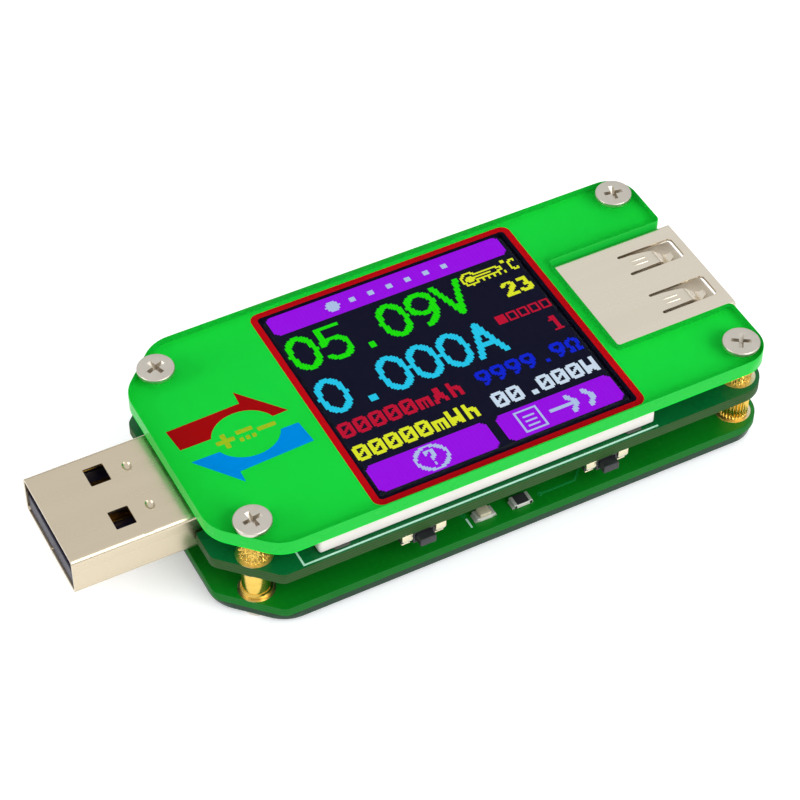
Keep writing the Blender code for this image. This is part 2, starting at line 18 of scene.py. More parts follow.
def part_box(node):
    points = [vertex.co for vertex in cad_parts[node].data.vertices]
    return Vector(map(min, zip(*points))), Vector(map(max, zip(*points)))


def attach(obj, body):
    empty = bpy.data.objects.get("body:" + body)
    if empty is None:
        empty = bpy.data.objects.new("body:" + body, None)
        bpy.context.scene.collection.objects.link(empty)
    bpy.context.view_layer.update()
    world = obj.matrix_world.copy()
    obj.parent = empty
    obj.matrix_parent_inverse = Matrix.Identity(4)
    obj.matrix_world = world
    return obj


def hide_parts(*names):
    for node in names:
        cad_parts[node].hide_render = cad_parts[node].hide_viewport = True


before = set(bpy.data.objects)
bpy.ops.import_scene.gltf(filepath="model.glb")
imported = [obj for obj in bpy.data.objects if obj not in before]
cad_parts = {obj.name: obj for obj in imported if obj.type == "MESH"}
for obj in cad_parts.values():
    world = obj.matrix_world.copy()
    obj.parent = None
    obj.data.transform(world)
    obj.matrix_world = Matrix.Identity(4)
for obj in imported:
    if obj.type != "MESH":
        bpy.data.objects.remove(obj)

MM = 0.001
CHASSIS = "chassis"
LAYER_GAP = 0.012      # between an ink layer or a lit cell and what it lies on
EDGE_STEPS = 3         # facets across the rounded edge of a block
CLOSE = 1e-4           # points nearer than this are one point
COAT_GLOSS = 0.08      # roughness of a clear coat
log = logging.getLogger("usb_power_meter")

Point = tuple[float, float]
Corner = tuple[float, float, float]
Relief = Callable[[float, float, float], float]
Outlines = Sequence[Sequence[Vector]]
Tree = bpy.types.NodeTree
Node = bpy.types.Node
Output = bpy.types.NodeSocket


# --- Frame ---------------------------------------------------------------------------------------------


def node_box(node: str) -> tuple[Vector, Vector]:
    """Returns the lowest and highest corner of a CAD node, in millimetres."""
    low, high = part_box(node)
    return low / MM, high / MM


def stack_centre() -> float:
    """Returns the X of the middle of the boards."""
    low, high = node_box("front_plate")
    return (low.x + high.x) / 2


# --- Outlines ------------------------------------------------------------------------------------------


def rounded(corners: Sequence[Corner], step: float = 9.0) -> list[Vector]:
    """Returns a closed outline whose corners are joined by arcs.

    Args:
        corners: The x, y and radius of each corner, anticlockwise.
        step: The turn between two points of an arc, in degrees.

    Returns:
        The outline's points.
    """
    points = []
    for index, (x, y, radius) in enumerate(corners):
        corner = Vector((x, y))
        before = (Vector(corners[index - 1][:2]) - corner).normalized()
        after = (Vector(corners[(index + 1) % len(corners)][:2]) - corner).normalized()
        if not radius:
            points.append(corner)
            continue
        half = before.angle(after) / 2
        centre = corner + (before + after).normalized() * radius / math.sin(half)
        start = corner + before * radius / math.tan(half) - centre
        end = corner + after * radius / math.tan(half) - centre
        sweep = start.angle_signed(end)
        count = max(2, round(math.degrees(abs(sweep)) / step))
        points += [centre + Matrix.Rotation(-sweep * turn / count, 2) @ start for turn in range(count + 1)]
    return points


def rectangle(low: Point, high: Point, radius: float = 0.0) -> list[Vector]:
    """Returns the outline of a rectangle with rounded corners."""
    return rounded([(low[0], low[1], radius), (high[0], low[1], radius),
                    (high[0], high[1], radius), (low[0], high[1], radius)])


def circle(centre: Point, radius: float, sides: int = 48) -> list[Vector]:
    """Returns the outline of a circle."""
    return [Vector((centre[0] + radius * math.cos(math.tau * turn / sides),
                    centre[1] + radius * math.sin(math.tau * turn / sides))) for turn in range(sides)]


def ribbon(route: Sequence[Point], width: float) -> list[Vector]:
    """Returns the outline of a line of some width that follows a route, with mitred corners."""
    points = [Vector(spot) for spot in route]
    left, right = [], []
    for index, spot in enumerate(points):
        before = (spot - points[index - 1]).normalized() if index else None
        after = (points[index + 1] - spot).normalized() if index < len(points) - 1 else None
        along = ((before or after) + (after or before)).normalized()
        across = Vector((-along.y, along.x))
        reach = width / 2 / max(0.3, across.dot(Vector((-(after or before).y, (after or before).x))))
        left.append(spot + across * reach)
        right.append(spot - across * reach)
    return right + left[::-1]


# --- Meshes --------------------------------------------------------------------------------------------


class Solid:
    """A piece's mesh while it is made, in millimetres and in the row frame."""

    def __init__(self) -> None:
        """Starts an empty mesh."""
        self.bm = bmesh.new()

    def take(self, part: bmesh.types.BMesh, matrix: Matrix | None) -> None:
        """Adds a closed part to the piece, moved by a matrix."""
        if matrix is not None:
            part.transform(matrix)
        bmesh.ops.recalc_face_normals(part, faces=part.faces)
        mesh = bpy.data.meshes.new("part")
        part.to_mesh(mesh)
        part.free()
        self.bm.from_mesh(mesh)
        bpy.data.meshes.remove(mesh)

    def box(self, low: Sequence[float], high: Sequence[float], edge: float = 0.0, finish: int = 0,
            matrix: Matrix | None = None) -> None:
        """Adds a block between two corners.

        Args:
            low: The lowest corner.
            high: The highest corner.
            edge: The radius that its edges are rounded to.
            finish: The number of its finish.
            matrix: Where it is moved to, if it isn't in place.
        """
        low, high = Vector(low), Vector(high)
        part = bmesh.new()
        bmesh.ops.create_cube(part, size=1.0)
        bmesh.ops.scale(part, vec=high - low, verts=part.verts)
        bmesh.ops.translate(part, vec=(low + high) / 2, verts=part.verts)
        if edge:
            bmesh.ops.bevel(part, geom=part.edges[:], offset=edge, segments=EDGE_STEPS, profile=0.5,
                            affect="EDGES")
        for face in part.faces:
            face.material_index = finish
        self.take(part, matrix)

    def plate(self, outlines: Outlines, low: float, high: float, edge: float = 0.0,
              faces: int = 0, rim: int | None = None, matrix: Matrix | None = None) -> None:
        """Adds a flat sheet, made and described by flat_sheet, and moved by the matrix if there is one."""
        self.take(flat_sheet(outlines, low, high, edge, faces, rim), matrix)

    def turned(self, profile: Sequence[Point], matrix: Matrix | None = None, steps: int = 64,
               finish: int = 0, relief: Relief | None = None) -> None:
        """Adds a turned shape.

        Args:
            profile: Radius and height of its points, from the top of the axis down to its bottom.
            matrix: Where it is moved to.
            steps: The number of its sides.
            finish: The number of its finish.
            relief: A function of angle, height and radius that returns the radius after knurling.
        """
        part = bmesh.new()
        rings = []
        for radius, height in profile:
            if radius < 1e-6:
                rings.append([part.verts.new((0, 0, height))])
                continue
            ring = []
            for turn in range(steps):
                angle = math.tau * turn / steps
                reach = relief(angle, height, radius) if relief else radius
                ring.append(part.verts.new((reach * math.cos(angle), reach * math.sin(angle), height)))
            rings.append(ring)
        for upper, lower in zip(rings, rings[1:]):
            for turn in range(steps):
                following = (turn + 1) % steps
                corners = [upper[turn % len(upper)], lower[turn % len(lower)],
                           lower[following % len(lower)], upper[following % len(upper)]]
                kept = [vert for index, vert in enumerate(corners) if vert not in corners[:index]]
                if len(kept) > 2:
                    part.faces.new(kept).material_index = finish
        self.take(part, matrix)

    def strip(self, stations: Sequence[tuple[float, float, float]], thick: float, middle: float,
              finish: int = 0, matrix: Matrix | None = None) -> None:
        """Adds a bent metal strip that runs along X.

        Args:
            stations: Its x, its top's height and half its width at each place along it.
            thick: The thickness of the sheet.
            middle: The Y of its centre line.
            finish: The number of its finish.
            matrix: Where it is moved to, if it isn't in place.
        """
        part = bmesh.new()
        rings = []
        for index, (x, z, half) in enumerate(stations):
            ahead, behind = stations[min(index + 1, len(stations) - 1)], stations[max(index - 1, 0)]
            along = Vector((ahead[0] - behind[0], ahead[1] - behind[1])).normalized()
            down = Vector((along.y, -along.x)) * thick
            rings.append([part.verts.new(spot) for spot in (
                (x, middle - half, z), (x, middle + half, z),
                (x + down.x, middle + half, z + down.y), (x + down.x, middle - half, z + down.y))])
        join_rings(part, rings, finish)
        self.take(part, matrix)

    def tube(self, route: Sequence[Corner], radius: float, finish: int = 0, sides: int = 12) -> None:
        """Adds a round wire that follows a route of points."""
        part = bmesh.new()
        points = [Vector(spot) for spot in route]
        rings = []
        for index, spot in enumerate(points):
            along = points[min(index + 1, len(points) - 1)] - points[max(index - 1, 0)]
            turn = along.to_track_quat("Z", "Y")
            rings.append([part.verts.new(spot + turn @ flat.to_3d())
                          for flat in circle((0.0, 0.0), radius, sides)])
        join_rings(part, rings, finish)
        self.take(part, None)

    def cut(self, tools: Sequence["Solid"]) -> None:
        """Cuts this mesh with other closed meshes, which are used up."""
        held = [self.holder(), *(tool.holder() for tool in tools)]
        for tool in held[1:]:
            step = held[0].modifiers.new("cut", "BOOLEAN")
            step.operation, step.solver, step.object = "DIFFERENCE", "EXACT", tool
        mesh = settled(held[0])
        self.bm = bmesh.new()
        self.bm.from_mesh(mesh)
        bpy.data.meshes.remove(mesh)
        for holder in held:
            bpy.data.objects.remove(holder)

    def holder(self) -> bpy.types.Object:
        """Returns a short-lived object that holds the mesh as it is."""
        mesh = bpy.data.meshes.new("held")
        self.bm.to_mesh(mesh)
        self.bm.free()
        obj = bpy.data.objects.new("held", mesh)
        bpy.context.scene.collection.objects.link(obj)
        return obj

    def piece(self, name: str, sharp: float = 32.0) -> bpy.types.Object:
        """Finishes the mesh in metres, with edges over the sharp angle kept crisp, and returns its object.

        Flat faces keep their own direction, so that only the rounded edges catch the light.
        """
        self.bm.transform(Matrix.Scale(MM, 4))
        obj = self.holder()
        obj.name = name
        obj.data.shade_smooth()
        obj.data.set_sharp_from_angle(angle=math.radians(sharp))
        obj.modifiers.new("flats", "WEIGHTED_NORMAL").keep_sharp = True
        mesh = settled(obj)
        obj.modifiers.clear()
        obj.data, mesh.name = mesh, name
        return obj


def join_rings(part: bmesh.types.BMesh, rings: Sequence[Sequence[bmesh.types.BMVert]],
               finish: int = 0) -> None:
    """Joins rings of as many points each by walls, and closes both ends."""
    sides = len(rings[0])
    for first, second in zip(rings, rings[1:]):
        for side in range(sides):
            after = (side + 1) % sides
            part.faces.new((first[side], first[after], second[after], second[side]))
    part.faces.new(rings[0])
    part.faces.new(rings[-1][::-1])
    for face in part.faces:
        face.material_index = finish


def settled(obj: bpy.types.Object) -> bpy.types.Mesh:
    """Returns a new mesh of an object as its modifiers leave it."""
    return bpy.data.meshes.new_from_object(obj.evaluated_get(bpy.context.evaluated_depsgraph_get()))


def flat_sheet(outlines: Outlines, low: float, high: float, edge: float = 0.0,
               faces: int = 0, rim: int | None = None) -> bmesh.types.BMesh:
    """Makes a flat closed sheet with holes and rounded edges from filled 2D curves.

    Args:
        outlines: The outlines of the sheet, in any order.
        low: The height of its underside.
        high: The height of its top.
        edge: The radius that its edges are rounded to.
        faces: The number of the finish of its two faces.
        rim: The number of the finish of its rim, if it is another one.

    Returns:
        The sheet's mesh.
    """
    curve = bpy.data.curves.new("sheet", "CURVE")
    curve.dimensions = "2D"
    curve.fill_mode = "BOTH"
    curve.extrude = (high - low) / 2 - edge
    curve.bevel_depth = edge
    curve.bevel_resolution = 1
    curve.offset = -edge
    for outline in outlines:
        spline = curve.splines.new("POLY")
        spline.points.add(len(outline) - 1)
        for spot, (x, y) in zip(spline.points, outline):
            spot.co = (x, y, 0.0, 1.0)
        spline.use_cyclic_u = True
    source = bpy.data.objects.new("sheet", curve)
    bpy.context.scene.collection.objects.link(source)
    mesh = settled(source)
    bpy.data.objects.remove(source)
    bpy.data.curves.remove(curve)
    part = bmesh.new()
    part.from_mesh(mesh)
    bpy.data.meshes.remove(mesh)
    bmesh.ops.remove_doubles(part, verts=part.verts, dist=CLOSE)
    bmesh.ops.dissolve_limit(part, angle_limit=math.radians(0.5), verts=part.verts, edges=part.edges)
    bmesh.ops.translate(part, vec=(0, 0, (low + high) / 2), verts=part.verts)
    part.normal_update()
    for face in part.faces:
        flat = abs(face.normal.z) > 0.99
        face.material_index = faces if flat or rim is None else rim
    return part


@dataclass(frozen=True)
class Fold:
    """Sheet metal folded round a rectangular section, with its seam under the middle."""

    width: float
    height: float
    radius: float
    thick: float
    middle_z: float
    bend_steps: int = 6

    @property
    def girth(self) -> float:
        """The length of the sheet once round, on its outer face."""
        flats = 2 * (self.width - 2 * self.radius) + 2 * (self.height - 2 * self.radius)
        return flats + math.tau * self.radius

    def _runs(self) -> list[tuple[float, float]]:
        """Returns each run once round: its length and how far it turns."""
        across, up = self.width - 2 * self.radius, self.height - 2 * self.radius
        bend = (math.pi / 2 * self.radius, math.pi / 2)
        return [(across / 2, 0.0), bend, (up, 0.0), bend, (across, 0.0), bend, (up, 0.0), bend,
                (across, 0.0)]

    def bend_lines(self) -> list[float]:
        """Returns the places on the flat sheet where it has to be divided to bend."""
        lines, reached = [], 0.0
        for length, turn in self._runs()[:-1]:
            if turn:
                lines += [reached + length * step / self.bend_steps for step in range(self.bend_steps + 1)]
            reached += length
        return lines

    def fold(self, along: float, x: float, depth: float) -> Vector:
        """Returns where a point of the flat sheet lies once it is folded.

        Args:
            along: Its place round the sheet, from the seam.
            x: Its place along the shell.
            depth: Its depth under the outer face.

        Returns:
            The folded point.
        """
        spot, heading = Vector((0.0, -self.height / 2)), 0.0
        left = along
        runs = self._runs()
        for index, (length, turn) in enumerate(runs):
            part = left if index == len(runs) - 1 else min(left, length)
            inward = Vector((-math.sin(heading), math.cos(heading)))
            if turn:
                angle = turn * part / length
                centre = spot + inward * self.radius
                heading += angle
                inward = Vector((-math.sin(heading), math.cos(heading)))
                spot = centre - inward * self.radius
            else:
                spot = spot + Vector((math.cos(heading), math.sin(heading))) * part
            left -= part
            if left <= 1e-9:
                break
        spot = spot + inward * depth
        return Vector((x, spot.x, self.middle_z + spot.y))

    def make(self, solid: Solid, outlines: Outlines, edge: float, finish: int = 0) -> None:
        """Adds the folded shell to a piece.

        Args:
            solid: The piece.
            outlines: The flat pattern, as points (along, x), and its holes.
            edge: The radius that cut edges are rounded to.
            finish: The number of its finish.
        """
        sheet = flat_sheet(outlines, 0.0, self.thick, edge, finish)
        for line in self.bend_lines():
            bmesh.ops.bisect_plane(sheet, geom=sheet.verts[:] + sheet.edges[:] + sheet.faces[:], dist=1e-5,
                                   plane_co=(line, 0, 0), plane_no=(1, 0, 0))
        for vert in sheet.verts:
            vert.co = self.fold(max(vert.co.x, 0.0), vert.co.y, vert.co.z)
        solid.take(sheet, None)


# --- Finishes ------------------------------------------------------------------------------------------


def linear(colour: str) -> tuple[float, float, float, float]:
    """Returns an sRGB hex colour as linear red, green, blue and alpha."""
    parts = [int(colour[place:place + 2], 16) / 255 for place in (0, 2, 4)]
    return (*(part / 12.92 if part <= 0.04045 else ((part + 0.055) / 1.055) ** 2.4 for part in parts), 1.0)


def per_size(millimetres: float) -> float:
    """Returns the texture scale at which a pattern's features are this many millimetres across."""
    return 1.0 / (millimetres * MM)


def add_node(tree: Tree, kind: str, settings: dict | None = None,
             links: dict | None = None) -> Node:
    """Adds a node with its settings and links.

    Args:
        tree: The node tree.
        kind: The node's type.
        settings: Its properties and the values of its inputs, by name or number.
        links: The outputs that feed its inputs, by the input's name or number.

    Returns:
        The node.
    """
    node = tree.nodes.new(kind)
    for key, value in (settings or {}).items():
        if isinstance(key, str) and key in node.bl_rna.properties:
            setattr(node, key, value)
        else:
            node.inputs[key].default_value = value
    for key, output in (links or {}).items():
        tree.links.new(output, node.inputs[key])
    return node


@dataclass(frozen=True)
class Finish:
    """A surface of two close tones, with mottling, fine grain and uneven gloss.

    Attributes:
        name: The material and how its surface was made.
        tone: Its colour, as sRGB hex.
        second: The colour that it varies towards.
        mottle: The size of the patches of colour, in millimetres.
        grain: The size of the surface's grain, in millimetres.
        relief: The height of the grain, in millimetres.
        gloss: The lowest and highest roughness.
        metallic: 1 for a metal.
        ior: The refractive index, for anything that isn't a metal.
        stretch: How much longer the grain is along X, Y and Z.
        coat: The share of clear coat over it.
        shine: How strongly its own surface mirrors, 0.5 being usual for its refractive index.
    """

    name: str
    tone: str
    second: str
    mottle: float = 2.0
    grain: float = 0.08
    relief: float = 0.002
    gloss: tuple[float, float] = (0.35, 0.45)
    metallic: float = 0.0
    ior: float = 1.5
    stretch: tuple[float, float, float] = (1.0, 1.0, 1.0)
    coat: float = 0.0
    shine: float = 0.5

    def material(self) -> bpy.types.Material:
        """Returns the finish's material, made once."""
        made = bpy.data.materials.get(self.name)
        if made:
            return made
        made = bpy.data.materials.new(self.name)
        made.use_nodes = True
        tree = made.node_tree
        shader = tree.nodes["Principled BSDF"]
        shader.inputs["Metallic"].default_value = self.metallic
        if not self.metallic:
            shader.inputs["IOR"].default_value = self.ior
            shader.inputs["Specular IOR Level"].default_value = self.shine
        if self.coat:
            shader.inputs["Coat Weight"].default_value = self.coat
            shader.inputs["Coat Roughness"].default_value = COAT_GLOSS
        self.dress(tree, shader)
        return made

    def dress(self, tree: Tree, shader: Node) -> None:
        """Wires the finish's pattern to its shader."""
        place = self.place(tree)
        self.shade(tree, shader, self.tones(tree, self.patches(tree, place)), place)

    def place(self, tree: Tree) -> Output:
        """Returns the coordinates of the pattern, stretched along the grain."""
        where = add_node(tree, "ShaderNodeTexCoord")
        scale = tuple(1.0 / length for length in self.stretch)
        return add_node(tree, "ShaderNodeMapping", {"Scale": scale},
                        {"Vector": where.outputs["Object"]}).outputs["Vector"]

    def patches(self, tree: Tree, place: Output) -> Output:
        """Returns noise in patches of the mottle's size."""
        return add_node(tree, "ShaderNodeTexNoise", {"Scale": per_size(self.mottle), "Detail": 4.0},
                        {"Vector": place}).outputs["Fac"]

    def bands(self, tree: Tree, place: Output, axis: str, spacing: float,
              bend: float = 0.0, detail: float = 2.0) -> Output:
        """Returns bands spaced along an axis, with how unevenly and in how fine detail they run."""
        return add_node(tree, "ShaderNodeTexWave",
                        {"bands_direction": axis, "Scale": per_size(spacing) / math.tau,
                         "Distortion": bend, "Detail": detail}, {"Vector": place}).outputs["Fac"]

    def tones(self, tree: Tree, share: Output) -> Output:
        """Returns the finish's two tones, mixed by a pattern."""
        return add_node(tree, "ShaderNodeMix",
                        {"data_type": "RGBA", 6: linear(self.tone), 7: linear(self.second)},
                        {0: share}).outputs[2]

    def bump(self, tree: Tree, height: Output) -> Output:
        """Returns the direction of the surface once a pattern stands out of it as relief."""
        return add_node(tree, "ShaderNodeBump", {"Strength": 1.0, "Distance": self.relief * MM},
                        {"Height": height}).outputs["Normal"]

    def shade(self, tree: Tree, shader: Node, colour: Output,
              place: Output, height: Output | None = None) -> None:
        """Links colour, gloss and relief.

        Args:
            tree: The node tree.
            shader: Its Principled shader.
            colour: The colour.
            place: The coordinates of the grain.
            height: The relief, if it isn't the finish's own grain.
        """
        grain = add_node(tree, "ShaderNodeTexNoise", {"Scale": per_size(self.grain), "Detail": 3.0},
                         {"Vector": place})
        smears = add_node(tree, "ShaderNodeTexNoise", {"Scale": per_size(self.mottle / 2), "Detail": 5.0},
                          {"Vector": place})
        gloss = add_node(tree, "ShaderNodeMapRange", {"From Min": 0.3, "From Max": 0.7,
                                                      "To Min": self.gloss[0], "To Max": self.gloss[1]},
                         {"Value": smears.outputs["Fac"]})
        tree.links.new(colour, shader.inputs["Base Color"])
        tree.links.new(gloss.outputs["Result"], shader.inputs["Roughness"])
        tree.links.new(self.bump(tree, height or grain.outputs["Fac"]), shader.inputs["Normal"])


@dataclass(frozen=True)
class CastAcrylic(Finish):
    """Clear cast acrylic sheet between soft lamps: it bends light, and mirrors only when seen at a slant.

    Attributes:
        skin: The share of light that its skin mirrors along the sheet.
        steep: How far a look has to be from straight on, from 0 to 1, before the skin mirrors at all.
    """

    skin: float = 0.6
    steep: float = 0.45

    def dress(self, tree: Tree, shader: Node) -> None:
        """Wires a clear body with a faint skin, whose shadow is light."""
        waves = self.patches(tree, self.place(tree))
        body = add_node(tree, "ShaderNodeBsdfRefraction", {"IOR": self.ior, "Roughness": 0.0},
                        {"Color": self.tones(tree, waves), "Normal": self.bump(tree, waves)})
        wiped = add_node(tree, "ShaderNodeMapRange", {"To Min": self.gloss[0], "To Max": self.gloss[1]},
                         {"Value": waves})
        gloss = add_node(tree, "ShaderNodeBsdfAnisotropic", None, {"Roughness": wiped.outputs["Result"]})
        look = add_node(tree, "ShaderNodeLayerWeight", {"Blend": 0.5})
        share = add_node(tree, "ShaderNodeMapRange", {"From Min": self.steep, "To Max": self.skin},
                         {"Value": look.outputs["Facing"]})
        sheet = add_node(tree, "ShaderNodeMixShader", None,
                         {0: share.outputs["Result"], 1: body.outputs["BSDF"], 2: gloss.outputs["BSDF"]})
        path = add_node(tree, "ShaderNodeLightPath")
        clear = add_node(tree, "ShaderNodeBsdfTransparent", {"Color": linear(self.tone)})
        both = add_node(tree, "ShaderNodeMixShader", None, {
            0: path.outputs["Is Shadow Ray"], 1: sheet.outputs["Shader"], 2: clear.outputs["BSDF"]})
        tree.links.new(both.outputs["Shader"], tree.nodes["Material Output"].inputs["Surface"])
        tree.nodes.remove(shader)


@dataclass(frozen=True)
class PaintedGlowEdge(Finish):
    """The green edge of the clear sheet, with a painted glow: an emission that makes it look lit from inside
    the sheet.

    Attributes:
        glow: The strength of the painted glow, an emission the edge gives off though it is no lamp.
    """

    glow: float = 0.3

    def dress(self, tree: Tree, shader: Node) -> None:
        """Wires the finish's pattern and its painted glow."""
        super().dress(tree, shader)
        shader.inputs["Emission Color"].default_value = linear(self.tone)
        shader.inputs["Emission Strength"].default_value = self.glow


@dataclass(frozen=True)
class SolderMask(Finish):
    """Gloss solder mask over glass cloth: the weave shows as a faint even relief."""

    thread: float = 0.45      # spacing of the cloth's threads, drawn about twice as coarse so that it shows
    show: float = 0.25        # how much the threads add to the share of the second tone

    def dress(self, tree: Tree, shader: Node) -> None:
        """Wires the mask's tones and the cloth's relief."""
        place = self.place(tree)
        warp, weft = (self.bands(tree, place, axis, self.thread, 0.6) for axis in ("X", "Y"))
        cloth = add_node(tree, "ShaderNodeMath", {"operation": "MULTIPLY"}, {0: warp, 1: weft})
        share = add_node(tree, "ShaderNodeMath", {"operation": "MULTIPLY_ADD", 1: self.show},
                         {0: cloth.outputs["Value"], 2: self.patches(tree, place)})
        self.shade(tree, shader, self.tones(tree, share.outputs["Value"]), place, cloth.outputs["Value"])


@dataclass(frozen=True)
class LayeredEdge(Finish):
    """The milled edge of glass laminate: plies of cloth show as fine level lines.

    Attributes:
        ply: The thickness of one ply, in millimetres.
    """

    ply: float = 0.17

    def dress(self, tree: Tree, shader: Node) -> None:
        """Wires the plies across the edge."""
        place = self.place(tree)
        plies = self.bands(tree, place, "Z", self.ply, 1.5, 3.0)
        self.shade(tree, shader, self.tones(tree, plies), place, plies)


@dataclass(frozen=True)
class LitCell(Finish):
    """Lit liquid crystal cells: an even glow with the faint comb of the cell columns.

    Attributes:
        cell: The spacing of the columns, in millimetres.
        glow: The strength of the glow.
        comb: How far the columns turn to the second tone.
        off: The colour of a cell by the room's light alone.
    """

    cell: float = 0.2078
    glow: float = 0.9
    comb: float = 0.35
    off: str = "050508"

    def dress(self, tree: Tree, shader: Node) -> None:
        """Wires the glow."""
        columns = self.bands(tree, self.place(tree), "X", self.cell)
        share = add_node(tree, "ShaderNodeMath", {"operation": "MULTIPLY", 1: self.comb}, {0: columns})
        shader.inputs["Base Color"].default_value = linear(self.off)
        shader.inputs["Specular IOR Level"].default_value = 0.0
        shader.inputs["Roughness"].default_value = self.gloss[0]
        shader.inputs["Emission Strength"].default_value = self.glow
        tree.links.new(self.tones(tree, share.outputs["Value"]), shader.inputs["Emission Color"])


def screen_ink(colour: str, tone: str, second: str) -> Finish:
    """Returns screen ink in two close tones, without a shine of its own."""
    return Finish(f"screen_ink_{colour}", tone, second, 3.0, 0.12, 0.002, (0.5, 0.6), shine=0.0)


class Finishes(Enum):
    """Every finish of the meter."""

    # Cast acrylic is clear with a hard gloss. Its milled rim and holes get a painted glow: emission in the
    # green ink's colour.
    CLEAR_ACRYLIC = CastAcrylic("clear_cast_acrylic", "fdfffd", "f8fff8", 14.0, 0.6, 0.0002, (0.02, 0.06),
                                ior=1.49)
    # The rim's emission is painted glow, not a lamp.
    EDGE_ACRYLIC_PAINTED_GLOW = PaintedGlowEdge("green_acrylic_edge_painted_glow", "14ae36", "12a632", 6.0, 0.2, 0.001, (0.2, 0.35),
                             shine=0.1)
    # Screen ink is bonded to the sheet and has no shine of its own: it is one even, bright colour.
    GREEN_INK = Finish("screen_ink_green", "1ede48", "1ad63e", 9.0, 0.15, 0.002, (0.5, 0.6), shine=0.0)
    RED_INK = screen_ink("red", "cc101a", "c20a16")
    DEEP_RED_INK = screen_ink("deep_red", "b01014", "a60c10")
    BLUE_INK = screen_ink("blue", "0092f4", "008aea")
    YELLOW_INK = screen_ink("yellow", "acc826", "a2be22")
    # Black ink for the ring inside the window border: painted shade standing in for the border's shadow on
    # the display.
    BORDER_SHADOW_INK = screen_ink("black", "141224", "100f1e")
    # Tinted acrylic of the back plate: dark green and glossy.
    BACK_ACRYLIC = Finish("tinted_cast_acrylic", "143a22", "10331e", 10.0, 0.5, 0.0004, (0.12, 0.2),
                          ior=1.49, shine=0.25)
    MASK = SolderMask("solder_mask_bluish_green", "065a2c", "086634", 5.0, 0.2, 0.004, (0.22, 0.34),
                      shine=0.25)
    LOWER_MASK = SolderMask("solder_mask_leaf_green", "067014", "087e1c", 5.0, 0.2, 0.004, (0.25, 0.36),
                            shine=0.25)
    COPPER_UNDER_MASK = Finish("solder_mask_on_copper", "148a3c", "1a9444", 2.0, 0.2, 0.002, (0.2, 0.3),
                               coat=0.25)
    LAMINATE_EDGE = LayeredEdge("milled_laminate_edge", "24481f", "335428", 3.0, 0.1, 0.008, (0.5, 0.65),
                                shine=0.1)
    LOWER_EDGE = LayeredEdge("milled_green_laminate_edge", "0c641c", "147024", 3.0, 0.1, 0.008, (0.5, 0.65),
                             shine=0.1)
    LEGEND_INK = Finish("board_legend_ink", "c8efe0", "b4e2d2", 0.6, 0.08, 0.006, (0.5, 0.6))
    # Nickel plate on folded steel is warm and bright, with the faint drawing lines of the strip.
    BRIGHT_NICKEL = Finish("bright_nickel_plate", "d6c8b0", "cebfa6", 3.5, 0.05, 0.0002, (0.22, 0.3), 1.0,
                           stretch=(14.0, 1.0, 1.0))
    PALE_NICKEL = Finish("pale_nickel_plate", "e6dccb", "ded3c0", 3.5, 0.05, 0.0002, (0.24, 0.32), 1.0,
                         stretch=(14.0, 1.0, 1.0))
    SATIN_NICKEL = Finish("satin_nickel_plate", "d6cfc4", "c8c0b2", 1.2, 0.06, 0.0015, (0.3, 0.42), 1.0)
    BRASS = Finish("turned_brass", "f2d070", "e6ba4c", 0.8, 0.04, 0.001, (0.14, 0.24), 1.0,
                   stretch=(3.0, 3.0, 1.0))
    GOLD_FLASH = Finish("gold_flash_contact", "f0c468", "e4b14e", 1.0, 0.05, 0.001, (0.18, 0.28), 1.0)
    TIN = Finish("bright_tin_plate", "efe4c8", "dccfae", 0.7, 0.06, 0.002, (0.26, 0.4), 1.0)
    SOLDER = Finish("reflowed_solder", "e2e2dc", "d0d0c8", 0.5, 0.08, 0.004, (0.45, 0.6), 0.6)
    # Moulded plastics: an even spark-eroded grain and no high gloss.
    WHITE_POLYCARBONATE = Finish("white_moulded_polycarbonate", "ece4e0", "e2d9d5", 4.0, 0.12, 0.003,
                                 (0.35, 0.48), ior=1.58)
    NAVY_PLASTIC = Finish("navy_moulded_pbt", "1a1230", "130d26", 2.0, 0.1, 0.004, (0.4, 0.55), ior=1.55)
    BLACK_PLASTIC = Finish("black_moulded_nylon", "1a1a1e", "242428", 1.0, 0.08, 0.005, (0.42, 0.58),
                           ior=1.53)
    IVORY_PLASTIC = Finish("ivory_moulded_pbt", "dcd1bf", "d0c5b2", 2.0, 0.1, 0.004, (0.4, 0.55), ior=1.55)
    CHIP_RESIN = Finish("black_moulded_epoxy", "202024", "2a2a2e", 1.5, 0.06, 0.006, (0.5, 0.68), ior=1.55)
    CERAMIC_WHITE = Finish("pressed_white_ceramic", "dcdcd2", "cfcfc4", 0.8, 0.06, 0.004, (0.45, 0.6))
    CERAMIC_TAN = Finish("fired_tan_ceramic", "a8794a", "946839", 0.8, 0.06, 0.004, (0.4, 0.55))
    LED_RESIN = Finish("clear_led_resin", "cfc8ac", "b8b094", 0.5, 0.08, 0.002, (0.12, 0.22), ior=1.53,
                       coat=0.5)
    LCD_GLASS = Finish("dark_polarised_glass", "0c0b18", "0f0d1e", 12.0, 0.5, 0.0003, (0.06, 0.12), ior=1.52,
                       shine=0.1)
    FOAM_TAPE = Finish("closed_cell_foam_tape", "4a4c48", "5a5c56", 0.6, 0.1, 0.03, (0.85, 0.95))
    FLEX = Finish("polyimide_flex", "9a5a1c", "84490f", 3.0, 0.3, 0.002, (0.25, 0.4), ior=1.7, coat=0.2)
    PAPER = Finish("matt_white_backdrop", "fbfbfb", "f9f9fa", 60.0, 0.8, 0.01, (0.85, 0.95))


